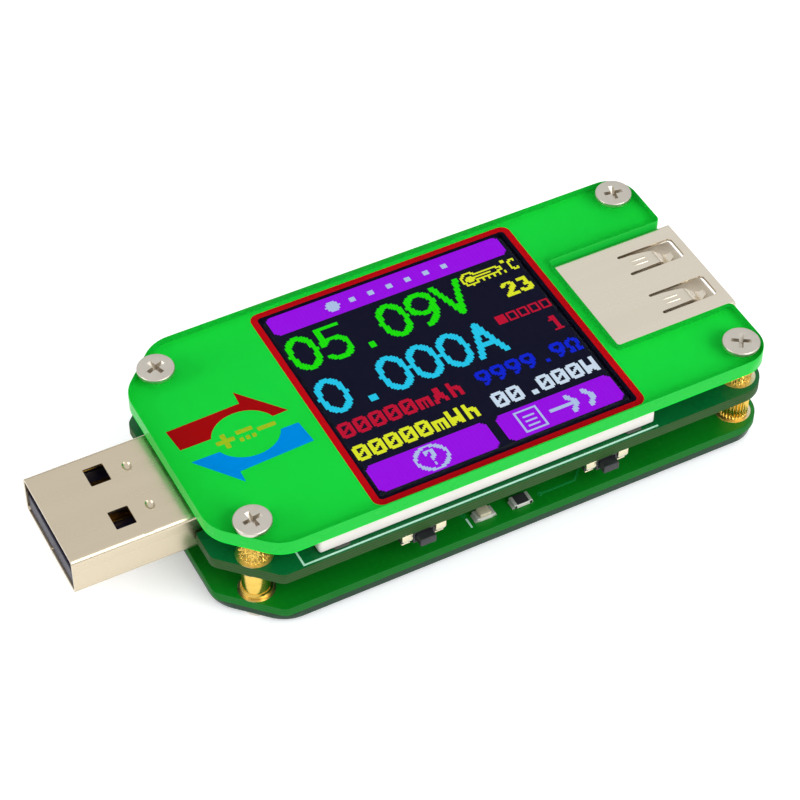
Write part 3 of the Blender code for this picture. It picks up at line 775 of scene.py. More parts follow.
class Light(Enum):
    """The colours of the display's lit cells."""

    NIGHT = LitCell("cells_dark", "141428", "161226", glow=1.0)
    PURPLE = LitCell("cells_purple", "a314f6", "9a0cf0")
    LILAC = LitCell("cells_lilac", "bccaf8", "aebcf4")
    GREEN = LitCell("cells_green", "22e80e", "12d006")
    CYAN = LitCell("cells_cyan", "2ccffc", "18bef0")
    CRIMSON = LitCell("cells_crimson", "cc1638", "b40e30")
    YELLOW = LitCell("cells_yellow", "eef032", "dcdc18")
    BLUE = LitCell("cells_blue", "1428e0", "0c1ccc")
    WHITE = LitCell("cells_white", "dce6ff", "c8d4fa")


def fit(obj: bpy.types.Object, finishes: Sequence[Finishes | Light],
        replaces: Sequence[str] = (), body: str = CHASSIS) -> bpy.types.Object:
    """Gives a piece its finishes, the body it rides on and the CAD nodes it stands for.

    Args:
        obj: The piece.
        finishes: Its finishes, in the order of their numbers.
        replaces: The CAD nodes that it stands for.
        body: The CAD body that it moves with.

    Returns:
        The piece.
    """
    for finish in finishes:
        obj.data.materials.append(finish.value.material())
    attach(obj, body)
    if replaces:
        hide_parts(*replaces)
    log.info("%s: %d faces on %s", obj.name, len(obj.data.polygons), body)
    return obj


def refinish(node: str, finish: Finishes) -> None:
    """Gives a CAD node that is shown as it is a better finish."""
    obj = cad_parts[node]
    obj.data.materials.clear()
    obj.data.materials.append(finish.value.material())
    log.info("%s: CAD node in %s", node, finish.value.name)


def seat(node: str, up: bool) -> tuple[Matrix, Vector]:
    """Returns where a part sits on its board, with Z out of the board, and the part's size.

    Args:
        node: The part's CAD node.
        up: Whether the board is under it and not over it.

    Returns:
        The place of the middle of its foot, and its size.
    """
    low, high = node_box(node)
    middle = (low + high) / 2
    place = Matrix.Translation((middle.x, middle.y, low.z if up else high.z))
    return place if up else place @ Matrix.Rotation(math.pi, 4, "X"), high - low


# --- Plates and boards ---------------------------------------------------------------------------------


@dataclass
class SheetShape:
    """The outline that the plates and boards share: two cut corners beside the plug, two round ones beside
    the socket, four screw holes, and notches for the plug and the socket."""

    node: str
    corner_cut: float = 5.1
    cut_round: float = 4.0
    corner_round: float = 3.0
    notch_round: float = 0.3
    lip_round: float = 0.6
    port_play: float = 0.2
    plug_play: float = 0.15
    notch_depth_play: float = 0.3
    hole_radius: float = 1.1
    port_notch: bool = True
    plug_notch: bool = False

    def outlines(self) -> list[list[Vector]]:
        """Returns the outer outline and the four holes, in the row frame's X and Y."""
        low, high = node_box(self.node)
        middle_x = (low.x + high.x) / 2
        x, y = (high.x - low.x) / 2, (high.y - low.y) / 2
        port, plug = node_box("port_shell"), node_box("plug_shell")
        corners = [(x, -y, self.corner_round)]
        if self.port_notch:
            half = port[1].y + self.port_play
            depth = port[0].x - self.notch_depth_play - middle_x
            corners += [(x, -half, self.lip_round), (depth, -half, self.notch_round),
                        (depth, half, self.notch_round), (x, half, self.lip_round)]
        corners += [(x, y, self.corner_round), (self.corner_cut - x, y, self.cut_round),
                    (-x, y - self.corner_cut, self.cut_round)]
        if self.plug_notch:
            half = plug[1].y + self.plug_play
            depth = plug[1].x + self.notch_depth_play - middle_x
            corners += [(-x, half, self.notch_round), (depth, half, self.notch_round),
                        (depth, -half, self.notch_round), (-x, -half, self.notch_round)]
        corners += [(-x, self.corner_cut - y, self.cut_round), (self.corner_cut - x, -y, self.cut_round)]
        outline = rounded([(corner[0] + middle_x, *corner[1:]) for corner in corners], 6.0)
        return [outline, *(circle(spot, self.hole_radius) for spot in screw_spots())]


def screw_spots() -> list[Point]:
    """Returns the X and Y of the four screws."""
    spots = []
    for number in range(1, 5):
        low, high = node_box(f"top_screw_{number}")
        spots.append(((low.x + high.x) / 2, (low.y + high.y) / 2))
    return spots


@dataclass
class FrontPlate:
    """The clear front plate and the artwork screen-printed under it: a green field with a window for the
    display, its red border, two arrows and the direct current sign with its polarity."""

    polish: float = 0.05
    bond: float = 0.045     # how far the clear sheet reaches down round the ink that is printed on it
    print_thick: float = 0.012
    window_low: Point = (-13.4, -13.3)
    window_high: Point = (14.5, 13.55)
    window_round: float = 0.5
    # Inner outline of the black ring of painted border shadow inside the window.
    shadow_ring_low: Point = (-13.1, -12.95)
    shadow_ring_high: Point = (14.1, 13.12)
    border_low: Point = (-14.1, -13.95)
    border_high: Point = (15.2, 14.22)
    border_round: float = 1.0
    border_inner_round: float = 0.4
    shadow_ring_round: float = 0.1
    halo_centre: Point = (-20.85, 0.1)
    halo_radii: Point = (3.4, 2.95)
    sign_line: float = 0.5
    sign_arm: float = 0.95          # half the length of the plus and the minus
    sign_reach: float = 2.15        # from the middle of the sign to the plus and the minus
    sign_half: float = 0.85         # half the length of the upper line of the direct current sign
    sign_rise: float = 0.5          # from the middle of the sign to each of its two lines
    dash_half: float = 0.2
    dash_pitch: float = 0.65
    corner: float = 0.08            # radius of the corners of the sign's bars

    def build(self) -> None:
        """Builds the plate and its artwork."""
        low, high = node_box("front_plate")
        shape = SheetShape("front_plate").outlines()
        sheet = Solid()
        sheet.plate(shape, low.z - self.bond, high.z, self.polish, 0, 1)
        # The rim finish carries a painted glow (emission) so the sheet's edge reads as lit.
        fit(sheet.piece("clear_front_plate"), [Finishes.CLEAR_ACRYLIC, Finishes.EDGE_ACRYLIC_PAINTED_GLOW],
            ["front_plate"])
        self.centre = stack_centre()
        film_low, film_high = node_box("artwork_film")
        field_print = Solid()
        window = self.moved(rectangle(self.window_low, self.window_high, self.window_round))
        field_print.plate([*shape, window], film_low.z, film_high.z)
        fit(field_print.piece("green_artwork"), [Finishes.GREEN_INK], ["artwork_film"])
        self.ink_z = film_high.z + LAYER_GAP / 2
        inner = rectangle(self.window_low, self.window_high, self.border_inner_round)
        self.ink("red_window_border", Finishes.RED_INK, [
            [rectangle(self.border_low, self.border_high, self.border_round), inner]])
        # The black ring inside the red border is painted shade: dark ink where the border's shadow falls on
        # the display.
        self.ink("black_ink_painted_border_shadow", Finishes.BORDER_SHADOW_INK, [
            [inner, rectangle(self.shadow_ring_low, self.shadow_ring_high, self.shadow_ring_round)]])
        self.ink("red_arrow", Finishes.DEEP_RED_INK, [[self.arrow_in()]])
        self.ink("blue_arrow", Finishes.BLUE_INK, [[self.arrow_out()]])
        self.ink("supply_sign", Finishes.YELLOW_INK, self.supply_sign())

    def moved(self, outline: Sequence[Vector]) -> list[Vector]:
        """Returns an outline that counted from the middle of the boards in the row frame."""
        return [Vector((spot[0] + self.centre, spot[1])) for spot in outline]

    def ink(self, name: str, finish: Finishes, shapes: Sequence[Outlines]) -> None:
        """Prints shapes, each with its holes, as one thin layer of ink."""
        layer = Solid()
        for outlines in shapes:
            layer.plate([self.moved(outline) for outline in outlines], self.ink_z,
                        self.ink_z + self.print_thick)
        fit(layer.piece(name), [finish])

    def halo(self, start: float, end: float, steps: int = 16) -> list[Vector]:
        """Returns an arc of the clear halo round the supply sign, between two angles in degrees."""
        return [Vector((self.halo_centre[0] + self.halo_radii[0] * math.cos(angle),
                        self.halo_centre[1] + self.halo_radii[1] * math.sin(angle)))
                for angle in (math.radians(start + (end - start) * step / steps)
                              for step in range(steps + 1))]

    def arrow_in(self) -> list[Vector]:
        """Returns the half arrow that points to the socket, with the halo cut out of its straight edge."""
        straight = [(-27.28, 1.0), *self.halo(162.4, 17.6), (-15.95, 1.05)]
        return [Vector(spot) for spot in (*straight, (-19.68, 5.56), (-19.78, 3.98), (-27.55, 3.78))]

    def arrow_out(self) -> list[Vector]:
        """Returns the half arrow that points to the plug, with the halo cut out of its straight edge."""
        straight = [(-15.8, -0.88), *self.halo(-19.5, -160.5), (-27.0, -0.86)]
        return [Vector(spot) for spot in (*straight, (-23.45, -5.4), (-23.38, -4.0), (-15.52, -3.66))]

    def supply_sign(self) -> list[list[list[Vector]]]:
        """Returns a plus, the direct current sign and a minus."""
        x, y, line, arm = *self.halo_centre, self.sign_line, self.sign_arm

        def bar(middle: Point, half: float, upright: bool = False) -> list[list[Vector]]:
            """Returns a rounded bar."""
            reach = (line / 2, half) if upright else (half, line / 2)
            return [rectangle((middle[0] - reach[0], middle[1] - reach[1]),
                              (middle[0] + reach[0], middle[1] + reach[1]), self.corner)]

        plus, minus = (x - self.sign_reach, y), (x + self.sign_reach, y)
        short = (arm - line / 2) / 2
        signs = [bar(plus, arm), bar((plus[0], y + arm - short), short, True),
                 bar((plus[0], y - arm + short), short, True), bar(minus, arm),
                 bar((x, y + self.sign_rise), self.sign_half)]
        return signs + [bar((x + place * self.dash_pitch, y - self.sign_rise), self.dash_half)
                        for place in (-1, 0, 1)]


@dataclass
class BackPlate:
    """The tinted plate that closes the back."""

    polish: float = 0.1

    def build(self) -> None:
        """Builds the plate."""
        low, high = node_box("back_plate")
        sheet = Solid()
        sheet.plate(SheetShape("back_plate", port_notch=False).outlines(), low.z, high.z, self.polish)
        fit(sheet.piece("tinted_back_plate"), [Finishes.BACK_ACRYLIC], ["back_plate"])


@dataclass
class Board:
    """A circuit board: masked laminate with its tracks, plated holes and printed legend."""

    node: str
    shape: SheetShape
    mask: Finishes = Finishes.MASK
    rim: Finishes = Finishes.LAMINATE_EDGE
    edge: float = 0.04
    raised: float = 0.03
    legend_line: float = 0.2
    track: float = 0.22
    via_radius: float = 0.28
    via_bore: float = 0.14
    pad_ring: float = 0.75
    pad_play: float = 0.02      # between a screw hole and its tinned ring
    track_sink: float = 0.005   # how far a track's top lies under that of its plated holes
    land_sink: float = 0.012    # the same for a tinned ring

    def build(self) -> None:
        """Builds the bare board."""
        self.centre = stack_centre()
        self.low, self.high = node_box(self.node)
        sheet = Solid()
        sheet.plate(self.shape.outlines(), self.low.z, self.high.z, self.edge, 0, 1)
        fit(sheet.piece(f"{self.node}_laminate"), [self.mask, self.rim], [self.node])

    def face(self, up: bool) -> tuple[float, float]:
        """Returns the lowest and highest point of a thin layer on the top or the underside."""
        lift = LAYER_GAP / 4
        if up:
            return self.high.z + lift, self.high.z + lift + self.raised
        return self.low.z - lift - self.raised, self.low.z - lift

    def legend(self, name: str, routes: Sequence[Sequence[Point]], up: bool = True) -> None:
        """Prints legend lines on one face."""
        lines = Solid()
        low, high = self.face(up)
        for route in routes:
            moved = [(x + self.centre, y) for x, y in route]
            lines.plate([ribbon(moved, self.legend_line)], low, low + (high - low) / 2)
        fit(lines.piece(name), [Finishes.LEGEND_INK])

    def tracks(self, name: str, routes: Sequence[Sequence[Point]], up: bool = True) -> None:
        """Lays masked copper tracks, with a plated hole at both ends of each."""
        lines = Solid()
        low, high = self.face(up)
        for route in routes:
            moved = [(x + self.centre, y) for x, y in route]
            lines.plate([ribbon(moved, self.track)], low, high - self.track_sink)
            for end in (moved[0], moved[-1]):
                lines.plate([circle(end, self.via_radius, 20), circle(end, self.via_bore, 12)], low, high)
        fit(lines.piece(name), [Finishes.COPPER_UNDER_MASK])

    def lands(self, name: str, up: bool = True) -> None:
        """Adds the tinned ring round each screw hole."""
        rings = Solid()
        low, high = self.face(up)
        for spot in screw_spots():
            rings.plate([circle(spot, self.shape.hole_radius + self.pad_ring),
                         circle(spot, self.shape.hole_radius + self.pad_play)], low, high - self.land_sink)
        fit(rings.piece(name), [Finishes.TIN])


# --- Fasteners -----------------------------------------------------------------------------------------


class Knurl(Enum):
    """How the outside of a spacer is rolled."""

    DIAMOND = "diamond"
    STRAIGHT = "straight"
    PLAIN = "plain"


@dataclass
class Screws:
    """Thin-headed machine screws with a cross recess, four through each plate."""

    head_edge: float = 0.15
    bottom_trim: float = 0.45
    shank_radius: float = 0.94
    shank_length: float = 3.4
    neck: float = 0.9
    recess_reach: float = 1.02
    recess_floor: float = 0.42
    recess_depth: float = 0.66
    recess_half: float = 0.23
    recess_taper: float = 0.6       # width of the recess at its floor, as a share of its width on top
    flat_share: float = 0.55        # radius of the flat middle of the head, as a share of the head's
    under_rim: Point = (0.04, 0.03)     # chamfer under the head: inwards and up
    thread_pitch: float = 0.4
    thread_depth: float = 0.22
    thread_rows: int = 30
    turns: tuple[float, ...] = (20.0, 8.0, -12.0, -33.0)

    def build(self) -> None:
        """Builds the eight screws."""
        for number, (x, y) in enumerate(screw_spots(), 1):
            for side, flip in (("top", 0.0), ("bottom", math.pi)):
                node = f"{side}_screw_{number}"
                low, high = node_box(node)
                seat_z = low.z + self.shank_length if side == "top" else high.z - self.shank_length
                base = Matrix.Translation((x, y, seat_z)) @ Matrix.Rotation(flip, 4, "X") @ Matrix.Rotation(
                    math.radians(self.turns[number - 1]), 4, "Z")
                radius, head = (high.x - low.x) / 2, high.z - low.z - self.shank_length
                if side == "bottom":
                    radius -= self.bottom_trim
                body = Solid()
                body.turned(self.head_profile(radius, head), base, 72)
                body.cut([self.recess(head, base)])
                rows = [(self.shank_radius, 0.02 - self.neck - self.thread_length * row / self.thread_rows)
                        for row in range(self.thread_rows + 1)]
                body.turned([(0.0, rows[0][1]), *rows, (0.0, rows[-1][1])], base, 48, relief=self.thread)
                fit(body.piece(f"{side}_machine_screw_{number}"), [Finishes.SATIN_NICKEL],
                    [node])

    @property
    def thread_length(self) -> float:
        """The length of the threaded part of the shank."""
        return self.shank_length - self.neck

    def head_profile(self, radius: float, head: float) -> list[Point]:
        """Returns the outline of the head and the plain neck under it, with a soft shoulder."""
        edge, steps, flat = self.head_edge, 5, self.flat_share * radius
        shoulder = [(radius - edge + edge * math.sin(angle), head - edge + edge * math.cos(angle))
                    for angle in (math.pi / 2 * step / steps for step in range(steps + 1))]
        return [(0.0, head), (flat, head), *shoulder, (radius, self.under_rim[1]),
                (radius - self.under_rim[0], 0.0), (self.shank_radius, 0.0),
                (self.shank_radius, -self.neck), (0.0, -self.neck)]

    def thread(self, angle: float, height: float, radius: float) -> float:
        """Returns the shank's radius with its thread."""
        phase = (height / self.thread_pitch - angle / math.tau) % 1.0
        return radius - self.thread_depth * abs(2 * phase - 1)

    def recess(self, head: float, base: Matrix) -> Solid:
        """Returns the tool that cuts the cross recess: a cross that narrows towards its floor."""
        part = bmesh.new()
        rings = []
        for level, reach, half in ((head + 0.05, self.recess_reach, self.recess_half),
                                   (head - self.recess_depth, self.recess_floor,
                                    self.recess_taper * self.recess_half)):
            ring = []
            for quarter in range(4):
                turn = Matrix.Rotation(quarter * math.pi / 2, 2)
                for spot in ((reach, -half), (reach, half), (half, half)):
                    flat = turn @ Vector(spot)
                    ring.append(part.verts.new((flat.x, flat.y, level)))
            rings.append(ring)
        join_rings(part, rings)
        tool = Solid()
        tool.take(part, base)
        return tool


@dataclass
class Spacers:
    """Threaded brass spacers, rolled in different ways as they come from a mixed supply."""

    flange_height: float = 0.45
    waist: float = 0.16
    chamfer: float = 0.14
    knurl_depth: float = 0.26
    diamond_ridges: int = 16
    straight_ridges: int = 14
    rows: int = 40
    bore: float = 0.85
    bore_top: float = 1.9       # depth of the bore from the top, past the tip of the upper screw
    bore_foot: float = 1.2      # height of the bore from the foot
    foot_gap: float = 0.02      # between the foot of an upper spacer and its board
    sides: int = 144
    lower_knurls: tuple[Knurl, ...] = (Knurl.STRAIGHT, Knurl.PLAIN, Knurl.PLAIN, Knurl.STRAIGHT)

    def build(self) -> None:
        """Builds the eight spacers."""
        for number, (x, y) in enumerate(screw_spots(), 1):
            upper, lower = f"upper_spacer_{number}", f"lower_spacer_{number}"
            top = node_box(upper)[1].z
            foot = node_box("main_board")[1].z
            self.make(upper, x, y, foot + self.foot_gap, top, Knurl.DIAMOND)
            low, high = node_box(lower)
            self.make(lower, x, y, low.z, high.z, self.lower_knurls[number - 1])

    def make(self, node: str, x: float, y: float, low: float, high: float, knurl: Knurl) -> None:
        """Builds one spacer between two heights."""
        box = node_box(node)
        radius = (box[1].x - box[0].x) / 2
        length = high - low
        profile = [(self.bore, length), (radius - self.chamfer, length)]
        for row in range(self.rows + 1):
            height = length - self.chamfer - (length - 2 * self.chamfer) * row / self.rows
            waisted = knurl is Knurl.PLAIN and height > self.flange_height
            profile.append((radius - (self.waist if waisted else 0.0), height))
        profile += [(radius - self.chamfer, 0.0), (self.bore, 0.0)]
        body = Solid()
        floor = length - self.bore_top
        body.turned([(0.0, floor), (self.bore, floor), *profile, (self.bore, self.bore_foot),
                     (0.0, self.bore_foot)],
                    Matrix.Translation((x, y, low)), self.sides, relief=self.relief(knurl, radius, length))
        sharp = 40.0 if knurl is Knurl.PLAIN else 20.0
        fit(body.piece(f"{node}_{knurl.value}", sharp), [Finishes.BRASS], [node])

    def relief(self, knurl: Knurl, full: float, length: float) -> Relief:
        """Returns the function that rolls the knurl into the outer wall."""

        def rolled(angle: float, height: float, radius: float) -> float:
            """Returns the radius at an angle and a height."""
            if knurl is Knurl.PLAIN or radius < full - CLOSE:
                return radius
            if knurl is Knurl.STRAIGHT:
                fade = min(1.0, min(height, length - height) / self.chamfer - 0.9)
                ridge = abs(math.sin(self.straight_ridges * angle))
                return radius - self.knurl_depth * (1 - ridge) * max(0.0, fade)
            lean = height / full
            cuts = [abs(2 * ((self.diamond_ridges * (angle + slant) / math.tau) % 1.0) - 1)
                    for slant in (lean, -lean)]
            return radius - self.knurl_depth * (1 - min(cuts))

        return rolled


# --- Plug and socket -----------------------------------------------------------------------------------


@dataclass
class Plug:
    """The folded plug shell with its latch windows and pressed stops, round the contact block."""

    radius: float = 0.6
    thick: float = 0.3
    cut_edge: float = 0.05
    seam: float = 0.06
    tab_reach: float = 0.9
    tab_half: float = 0.9
    tab_root: float = 0.6
    window: tuple[float, float] = (2.0, 2.3)
    window_x: float = -35.1
    window_y: float = 3.0
    stop_x: float = -32.16
    stop_y: float = 2.72
    stop_radii: Point = (0.44, 0.62)
    tongue_inset: float = 0.2
    block_setback: float = 4.9      # from the middle of the latch windows to the front of the block
    block_edge: float = 0.14
    contact_bow: float = 0.12

    def build(self) -> None:
        """Builds the shell and dresses the block and contacts."""
        centre = stack_centre()
        low, high = node_box("plug_shell")
        fold = Fold(high.y - low.y, high.z - low.z, self.radius, self.thick, (low.z + high.z) / 2)
        shell = Solid()
        middle = (low.x + high.x) / 2
        pattern = [(self.seam, low.x), (fold.girth - self.seam, low.x),
                   (fold.girth - self.seam, middle - self.tab_root),
                   (fold.girth + self.tab_reach, middle - self.tab_half),
                   (fold.girth + self.tab_reach, middle + self.tab_half),
                   (fold.girth - self.seam, middle + self.tab_root),
                   (fold.girth - self.seam, high.x), (self.seam, high.x),
                   (self.seam, middle + self.tab_root + self.seam),
                   (self.tab_reach + self.seam, middle + self.tab_half + self.seam),
                   (self.tab_reach + self.seam, middle - self.tab_half - self.seam),
                   (self.seam, middle - self.tab_root - self.seam)]
        holes = []
        half_x, half_y = self.window[0] / 2, self.window[1] / 2
        at_x = self.window_x + centre
        for at in (fold.girth / 2 - self.window_y, fold.girth / 2 + self.window_y,
                   self.window_y, fold.girth - self.window_y):
            holes.append(rectangle((at - half_y, at_x - half_x), (at + half_y, at_x + half_x), 0.08))
        for y in (-self.stop_y, self.stop_y):
            at = Vector((fold.girth / 2 - y, self.stop_x + centre))
            holes.append([at + Vector((spot.x * self.stop_radii[1], spot.y * self.stop_radii[0]))
                          for spot in circle((0.0, 0.0), 0.97, 28)])
            self.stop(shell, Vector((self.stop_x + centre, y, high.z)))
        fold.make(shell, [[Vector(spot) for spot in pattern], *holes], self.cut_edge)
        fit(shell.piece("plug_folded_shell"), [Finishes.BRIGHT_NICKEL], ["plug_shell"])
        self.block()
        for number in range(1, 5):
            contact(f"plug_contact_{number}", self.contact_bow, True)

    def stop(self, shell: Solid, at: Vector) -> None:
        """Adds one pressed stop: a shallow oval dish with a soft rim."""
        dish = [(0.0, -0.2), (0.45, -0.19), (0.72, -0.12), (0.9, -0.02), (1.0, 0.018), (1.1, 0.012),
                (1.14, -0.02), (1.0, -0.2), (0.7, -0.27), (0.0, -0.29)]
        shell.turned(dish, Matrix.Translation(at) @ Matrix.Diagonal((*self.stop_radii, 1.0, 1.0)), 40)

    def block(self) -> None:
        """Builds the moulded tongue and the block behind it."""
        low, high = node_box("plug_insulator")
        tip = node_box("plug_shell")[0].x + self.tongue_inset
        front = self.window_x + stack_centre() + self.block_setback
        under = node_box("plug_contact_1")[0].z - LAYER_GAP
        body = Solid()
        body.box((tip, low.y, low.z), (high.x, high.y, under), self.block_edge)
        body.box((front, low.y + 0.02, low.z + 0.02), (high.x, high.y - 0.02, high.z), self.block_edge)
        fit(body.piece("plug_block"), [Finishes.NAVY_PLASTIC], ["plug_insulator"])


def contact(node: str, bow: float, up: bool) -> None:
    """Replaces a flat contact with a sprung one: a strip that bows up towards what it touches.

    Args:
        node: The CAD contact.
        bow: How far it bows, in millimetres.
        up: Whether it bows up.
    """
    low, high = node_box(node)
    half = (high.y - low.y) / 2
    sign, level = (1, high.z) if up else (-1, low.z + 0.2)
    length = high.x - low.x
    steps, end_drop, end_width = 16, 0.03, 0.8
    stations = []
    for step in range(steps + 1):
        end = step in (0, steps)
        rise = -end_drop if end else bow * math.sin(math.pi * step / steps) ** 2
        stations.append((low.x + length * step / steps, level + sign * rise,
                         half * end_width if end else half))
    spring = Solid()
    spring.strip(stations, 0.16, (low.y + high.y) / 2)
    fit(spring.piece(f"{node}_spring"), [Finishes.GOLD_FLASH], [node])


@dataclass
class Socket:
    """The folded socket shell with two spring fingers in its roof, its back flap, and the contact block."""

    radius: float = 0.45
    thick: float = 0.3
    cut_edge: float = 0.05
    seam: float = 0.06
    finger_y: float = 3.08
    finger_half: float = 1.16
    slot: float = 0.33
    slot_root: float = 22.75
    slot_end: float = 29.02
    slot_round: float = 0.45
    tab: float = 0.9
    tongue_drop: float = 1.45
    tongue_half: float = 5.55
    tongue_inset: float = 0.35
    tongue_start: float = 0.5
    block_length: float = 4.0
    block_edge: float = 0.12
    tongue_edge: float = 0.16
    finger_thick: float = 0.24
    contact_bow: float = 0.12
    ridge_y: Point = (-0.3, 0.32)   # the two pressed ridges of a finger, from its middle line
    ridge_start: float = 23.3
    ridge_length: float = 2.0
    ridge_radius: float = 0.15
    ridge_sink: float = 0.16
    ridge_rise: float = 0.03
    # Each bend of a finger: its X from the middle of the boards, its drop and its share of the full width.
    bends: tuple[tuple[float, float, float], ...] = (
        (22.9, -0.004, 1.0), (24.2, -0.03, 0.97), (25.6, -0.12, 0.87), (26.3, -0.2, 0.8),
        (26.55, -0.26, 0.79), (26.72, -0.36, 0.78), (27.2, -0.78, 0.75), (27.5, -1.0, 0.68),
        (27.75, -1.1, 0.57), (28.0, -1.08, 0.45), (28.25, -0.95, 0.35), (28.42, -0.8, 0.27))

    def build(self) -> None:
        """Builds the shell and dresses the block and contacts."""
        centre = stack_centre()
        low, high = node_box("port_shell")
        fold = Fold(high.y - low.y, high.z - low.z, self.radius, self.thick, (low.z + high.z) / 2)
        shell = Solid()
        pattern = rectangle((self.seam, low.x + 0.02), (fold.girth - self.seam, high.x))
        holes = [self.window(fold.girth / 2 - y, centre) for y in (self.finger_y, -self.finger_y)]
        fold.make(shell, [pattern, *holes], self.cut_edge)
        inner, round_in = self.thick, self.radius - self.thick
        flap = rectangle((low.y + inner, low.z + inner), (high.y - inner, high.z - inner), round_in)
        stand = Matrix(((0, 0, 1, low.x + 0.05), (1, 0, 0, 0), (0, 1, 0, 0), (0, 0, 0, 1)))
        shell.plate([flap], 0.0, self.thick, 0.05, matrix=stand)
        for y in (-self.finger_y, self.finger_y):
            self.finger(shell, centre, y, high.z)
        fit(shell.piece("socket_folded_shell"), [Finishes.PALE_NICKEL], ["port_shell"])
        self.block()
        for number in range(1, 5):
            contact(f"port_contact_{number}", self.contact_bow, False)

    def block(self) -> None:
        """Builds the block that closes the socket's rear, and its tongue."""
        low, high = node_box("port_insulator")
        mouth = node_box("port_shell")[1]
        contact_top = node_box("port_contact_1")[1].z
        body = Solid()
        body.box((low.x, low.y, low.z), (low.x + self.block_length, high.y, high.z), self.block_edge)
        half = self.tongue_half
        body.box((low.x + self.tongue_start, -half, contact_top + LAYER_GAP),
                 (mouth.x - self.tongue_inset, half, mouth.z - self.tongue_drop), self.tongue_edge)
        fit(body.piece("socket_block"), [Finishes.IVORY_PLASTIC], ["port_insulator"])

    def window(self, across: float, centre: float) -> list[Vector]:
        """Returns the slot round one finger, in the flat sheet: two legs joined past the finger's tip."""
        half, leg, tight = self.finger_half + self.slot, self.finger_half, self.slot * 0.45
        root, end = self.slot_root + centre, self.slot_end + centre
        corners = [(-half, root, tight), (-leg, root, tight), (-leg, root + self.tab, 0.02),
                   (leg, root + self.tab, 0.02), (leg, root, tight), (half, root, tight),
                   (half, end, self.slot_round), (-half, end, self.slot_round)]
        return rounded([(across + x, y, radius) for x, y, radius in corners])

    def finger(self, shell: Solid, centre: float, y: float, top: float) -> None:
        """Adds one spring finger: flat at its root, bent down, narrowed, and turned up at its tip."""
        shell.strip([(x + centre, top + drop, width * self.finger_half) for x, drop, width in self.bends],
                    self.finger_thick, y)
        steps = 8
        for offset in self.ridge_y:
            ridge = [(self.ridge_start + self.ridge_length * step / steps + centre, y + offset,
                      top - self.ridge_sink + self.ridge_rise * math.sin(math.pi * step / steps))
                     for step in range(steps + 1)]
            shell.tube(ridge, self.ridge_radius, sides=20)


# --- Display -------------------------------------------------------------------------------------------


@dataclass(frozen=True)
class Line:
    """A stroke of straight runs."""

    points: tuple[Point, ...]

    def spots(self) -> list[Point]:
        """Returns close points along the stroke."""
        found = []
        for (x0, y0), (x1, y1) in zip(self.points, self.points[1:]):
            found += [(x0 + (x1 - x0) * step / 40, y0 + (y1 - y0) * step / 40) for step in range(41)]
        return found


@dataclass(frozen=True)
class Arc:
    """A stroke along part of an ellipse, between two angles in degrees."""

    centre: Point
    radii: Point
    start: float = 0.0
    end: float = 360.0

    def spots(self) -> list[Point]:
        """Returns close points along the stroke."""
        angles = [math.radians(self.start + (self.end - self.start) * step / 90) for step in range(91)]
        return [(self.centre[0] + self.radii[0] * math.cos(angle),
                 self.centre[1] + self.radii[1] * math.sin(angle)) for angle in angles]


# Each sign is drawn in a cell 4 wide and 7 high, from its lower left corner.
SIGNS: dict[str, tuple[Line | Arc, ...]] = {
    "0": (Arc((2, 3.5), (1.85, 3.5)),),
    "square 0": (Line(((0.9, 0), (3.1, 0), (4, 1), (4, 6), (3.1, 7), (0.9, 7), (0, 6), (0, 1), (0.9, 0))),),
    "1": (Line(((0.9, 5.6), (2.2, 7), (2.2, 0))), Line(((0.9, 0), (3.5, 0)))),
    "2": (Arc((2, 5.1), (1.8, 1.9), 165, -30), Line(((3.5, 4.1), (0.2, 0), (3.9, 0)))),
    "3": (Arc((1.9, 5.3), (1.7, 1.7), 150, -85), Arc((1.9, 1.85), (1.9, 1.85), 85, -150)),
    "5": (Line(((3.6, 7), (0.7, 7), (0.4, 3.7))), Arc((1.9, 2.3), (1.95, 2.3), 135, -145)),
    "9": (Arc((2, 4.85), (1.85, 2.15)), Arc((0.9, 4.7), (2.95, 4.7), 0, -80)),
    "V": (Line(((0.1, 7), (2, 0), (3.9, 7))),),
    "A": (Line(((0.1, 0), (2, 7), (3.9, 0))), Line(((0.9, 2.4), (3.1, 2.4)))),
    "W": (Line(((0.1, 7), (0.3, 0.2), (2, 3), (3.7, 0.2), (3.9, 7))),),
    "m": (Line(((0.1, 0), (0.1, 4.6), (1.6, 4.6), (2, 4), (2, 0))),
          Line(((2, 4.4), (3.5, 4.6), (3.9, 3.8), (3.9, 0)))),
    "h": (Line(((0.4, 7), (0.4, 0))), Line(((0.4, 4), (2.8, 4.6), (3.7, 3.6), (3.7, 0)))),
    "ohm": (Arc((2, 4), (1.8, 2.7), -60, 240), Line(((0.2, 0.3), (1.3, 0.3), (1.1, 1.6))),
            Line(((3.8, 0.3), (2.7, 0.3), (2.9, 1.6)))),
    "C": (Arc((2.2, 3.5), (1.8, 3.2), 50, 310),),
    "?": (Arc((2, 5.2), (1.6, 1.7), 170, -60), Line(((2.6, 3.7), (2, 3), (2, 2))), Line(((2, 0.4), (2, 0)))),
    ">": (Line(((0.4, 7), (3.4, 3.5), (0.4, 0))),),
    "/": (Line(((1.3, 2.3), (2.7, 4.8))),),
}


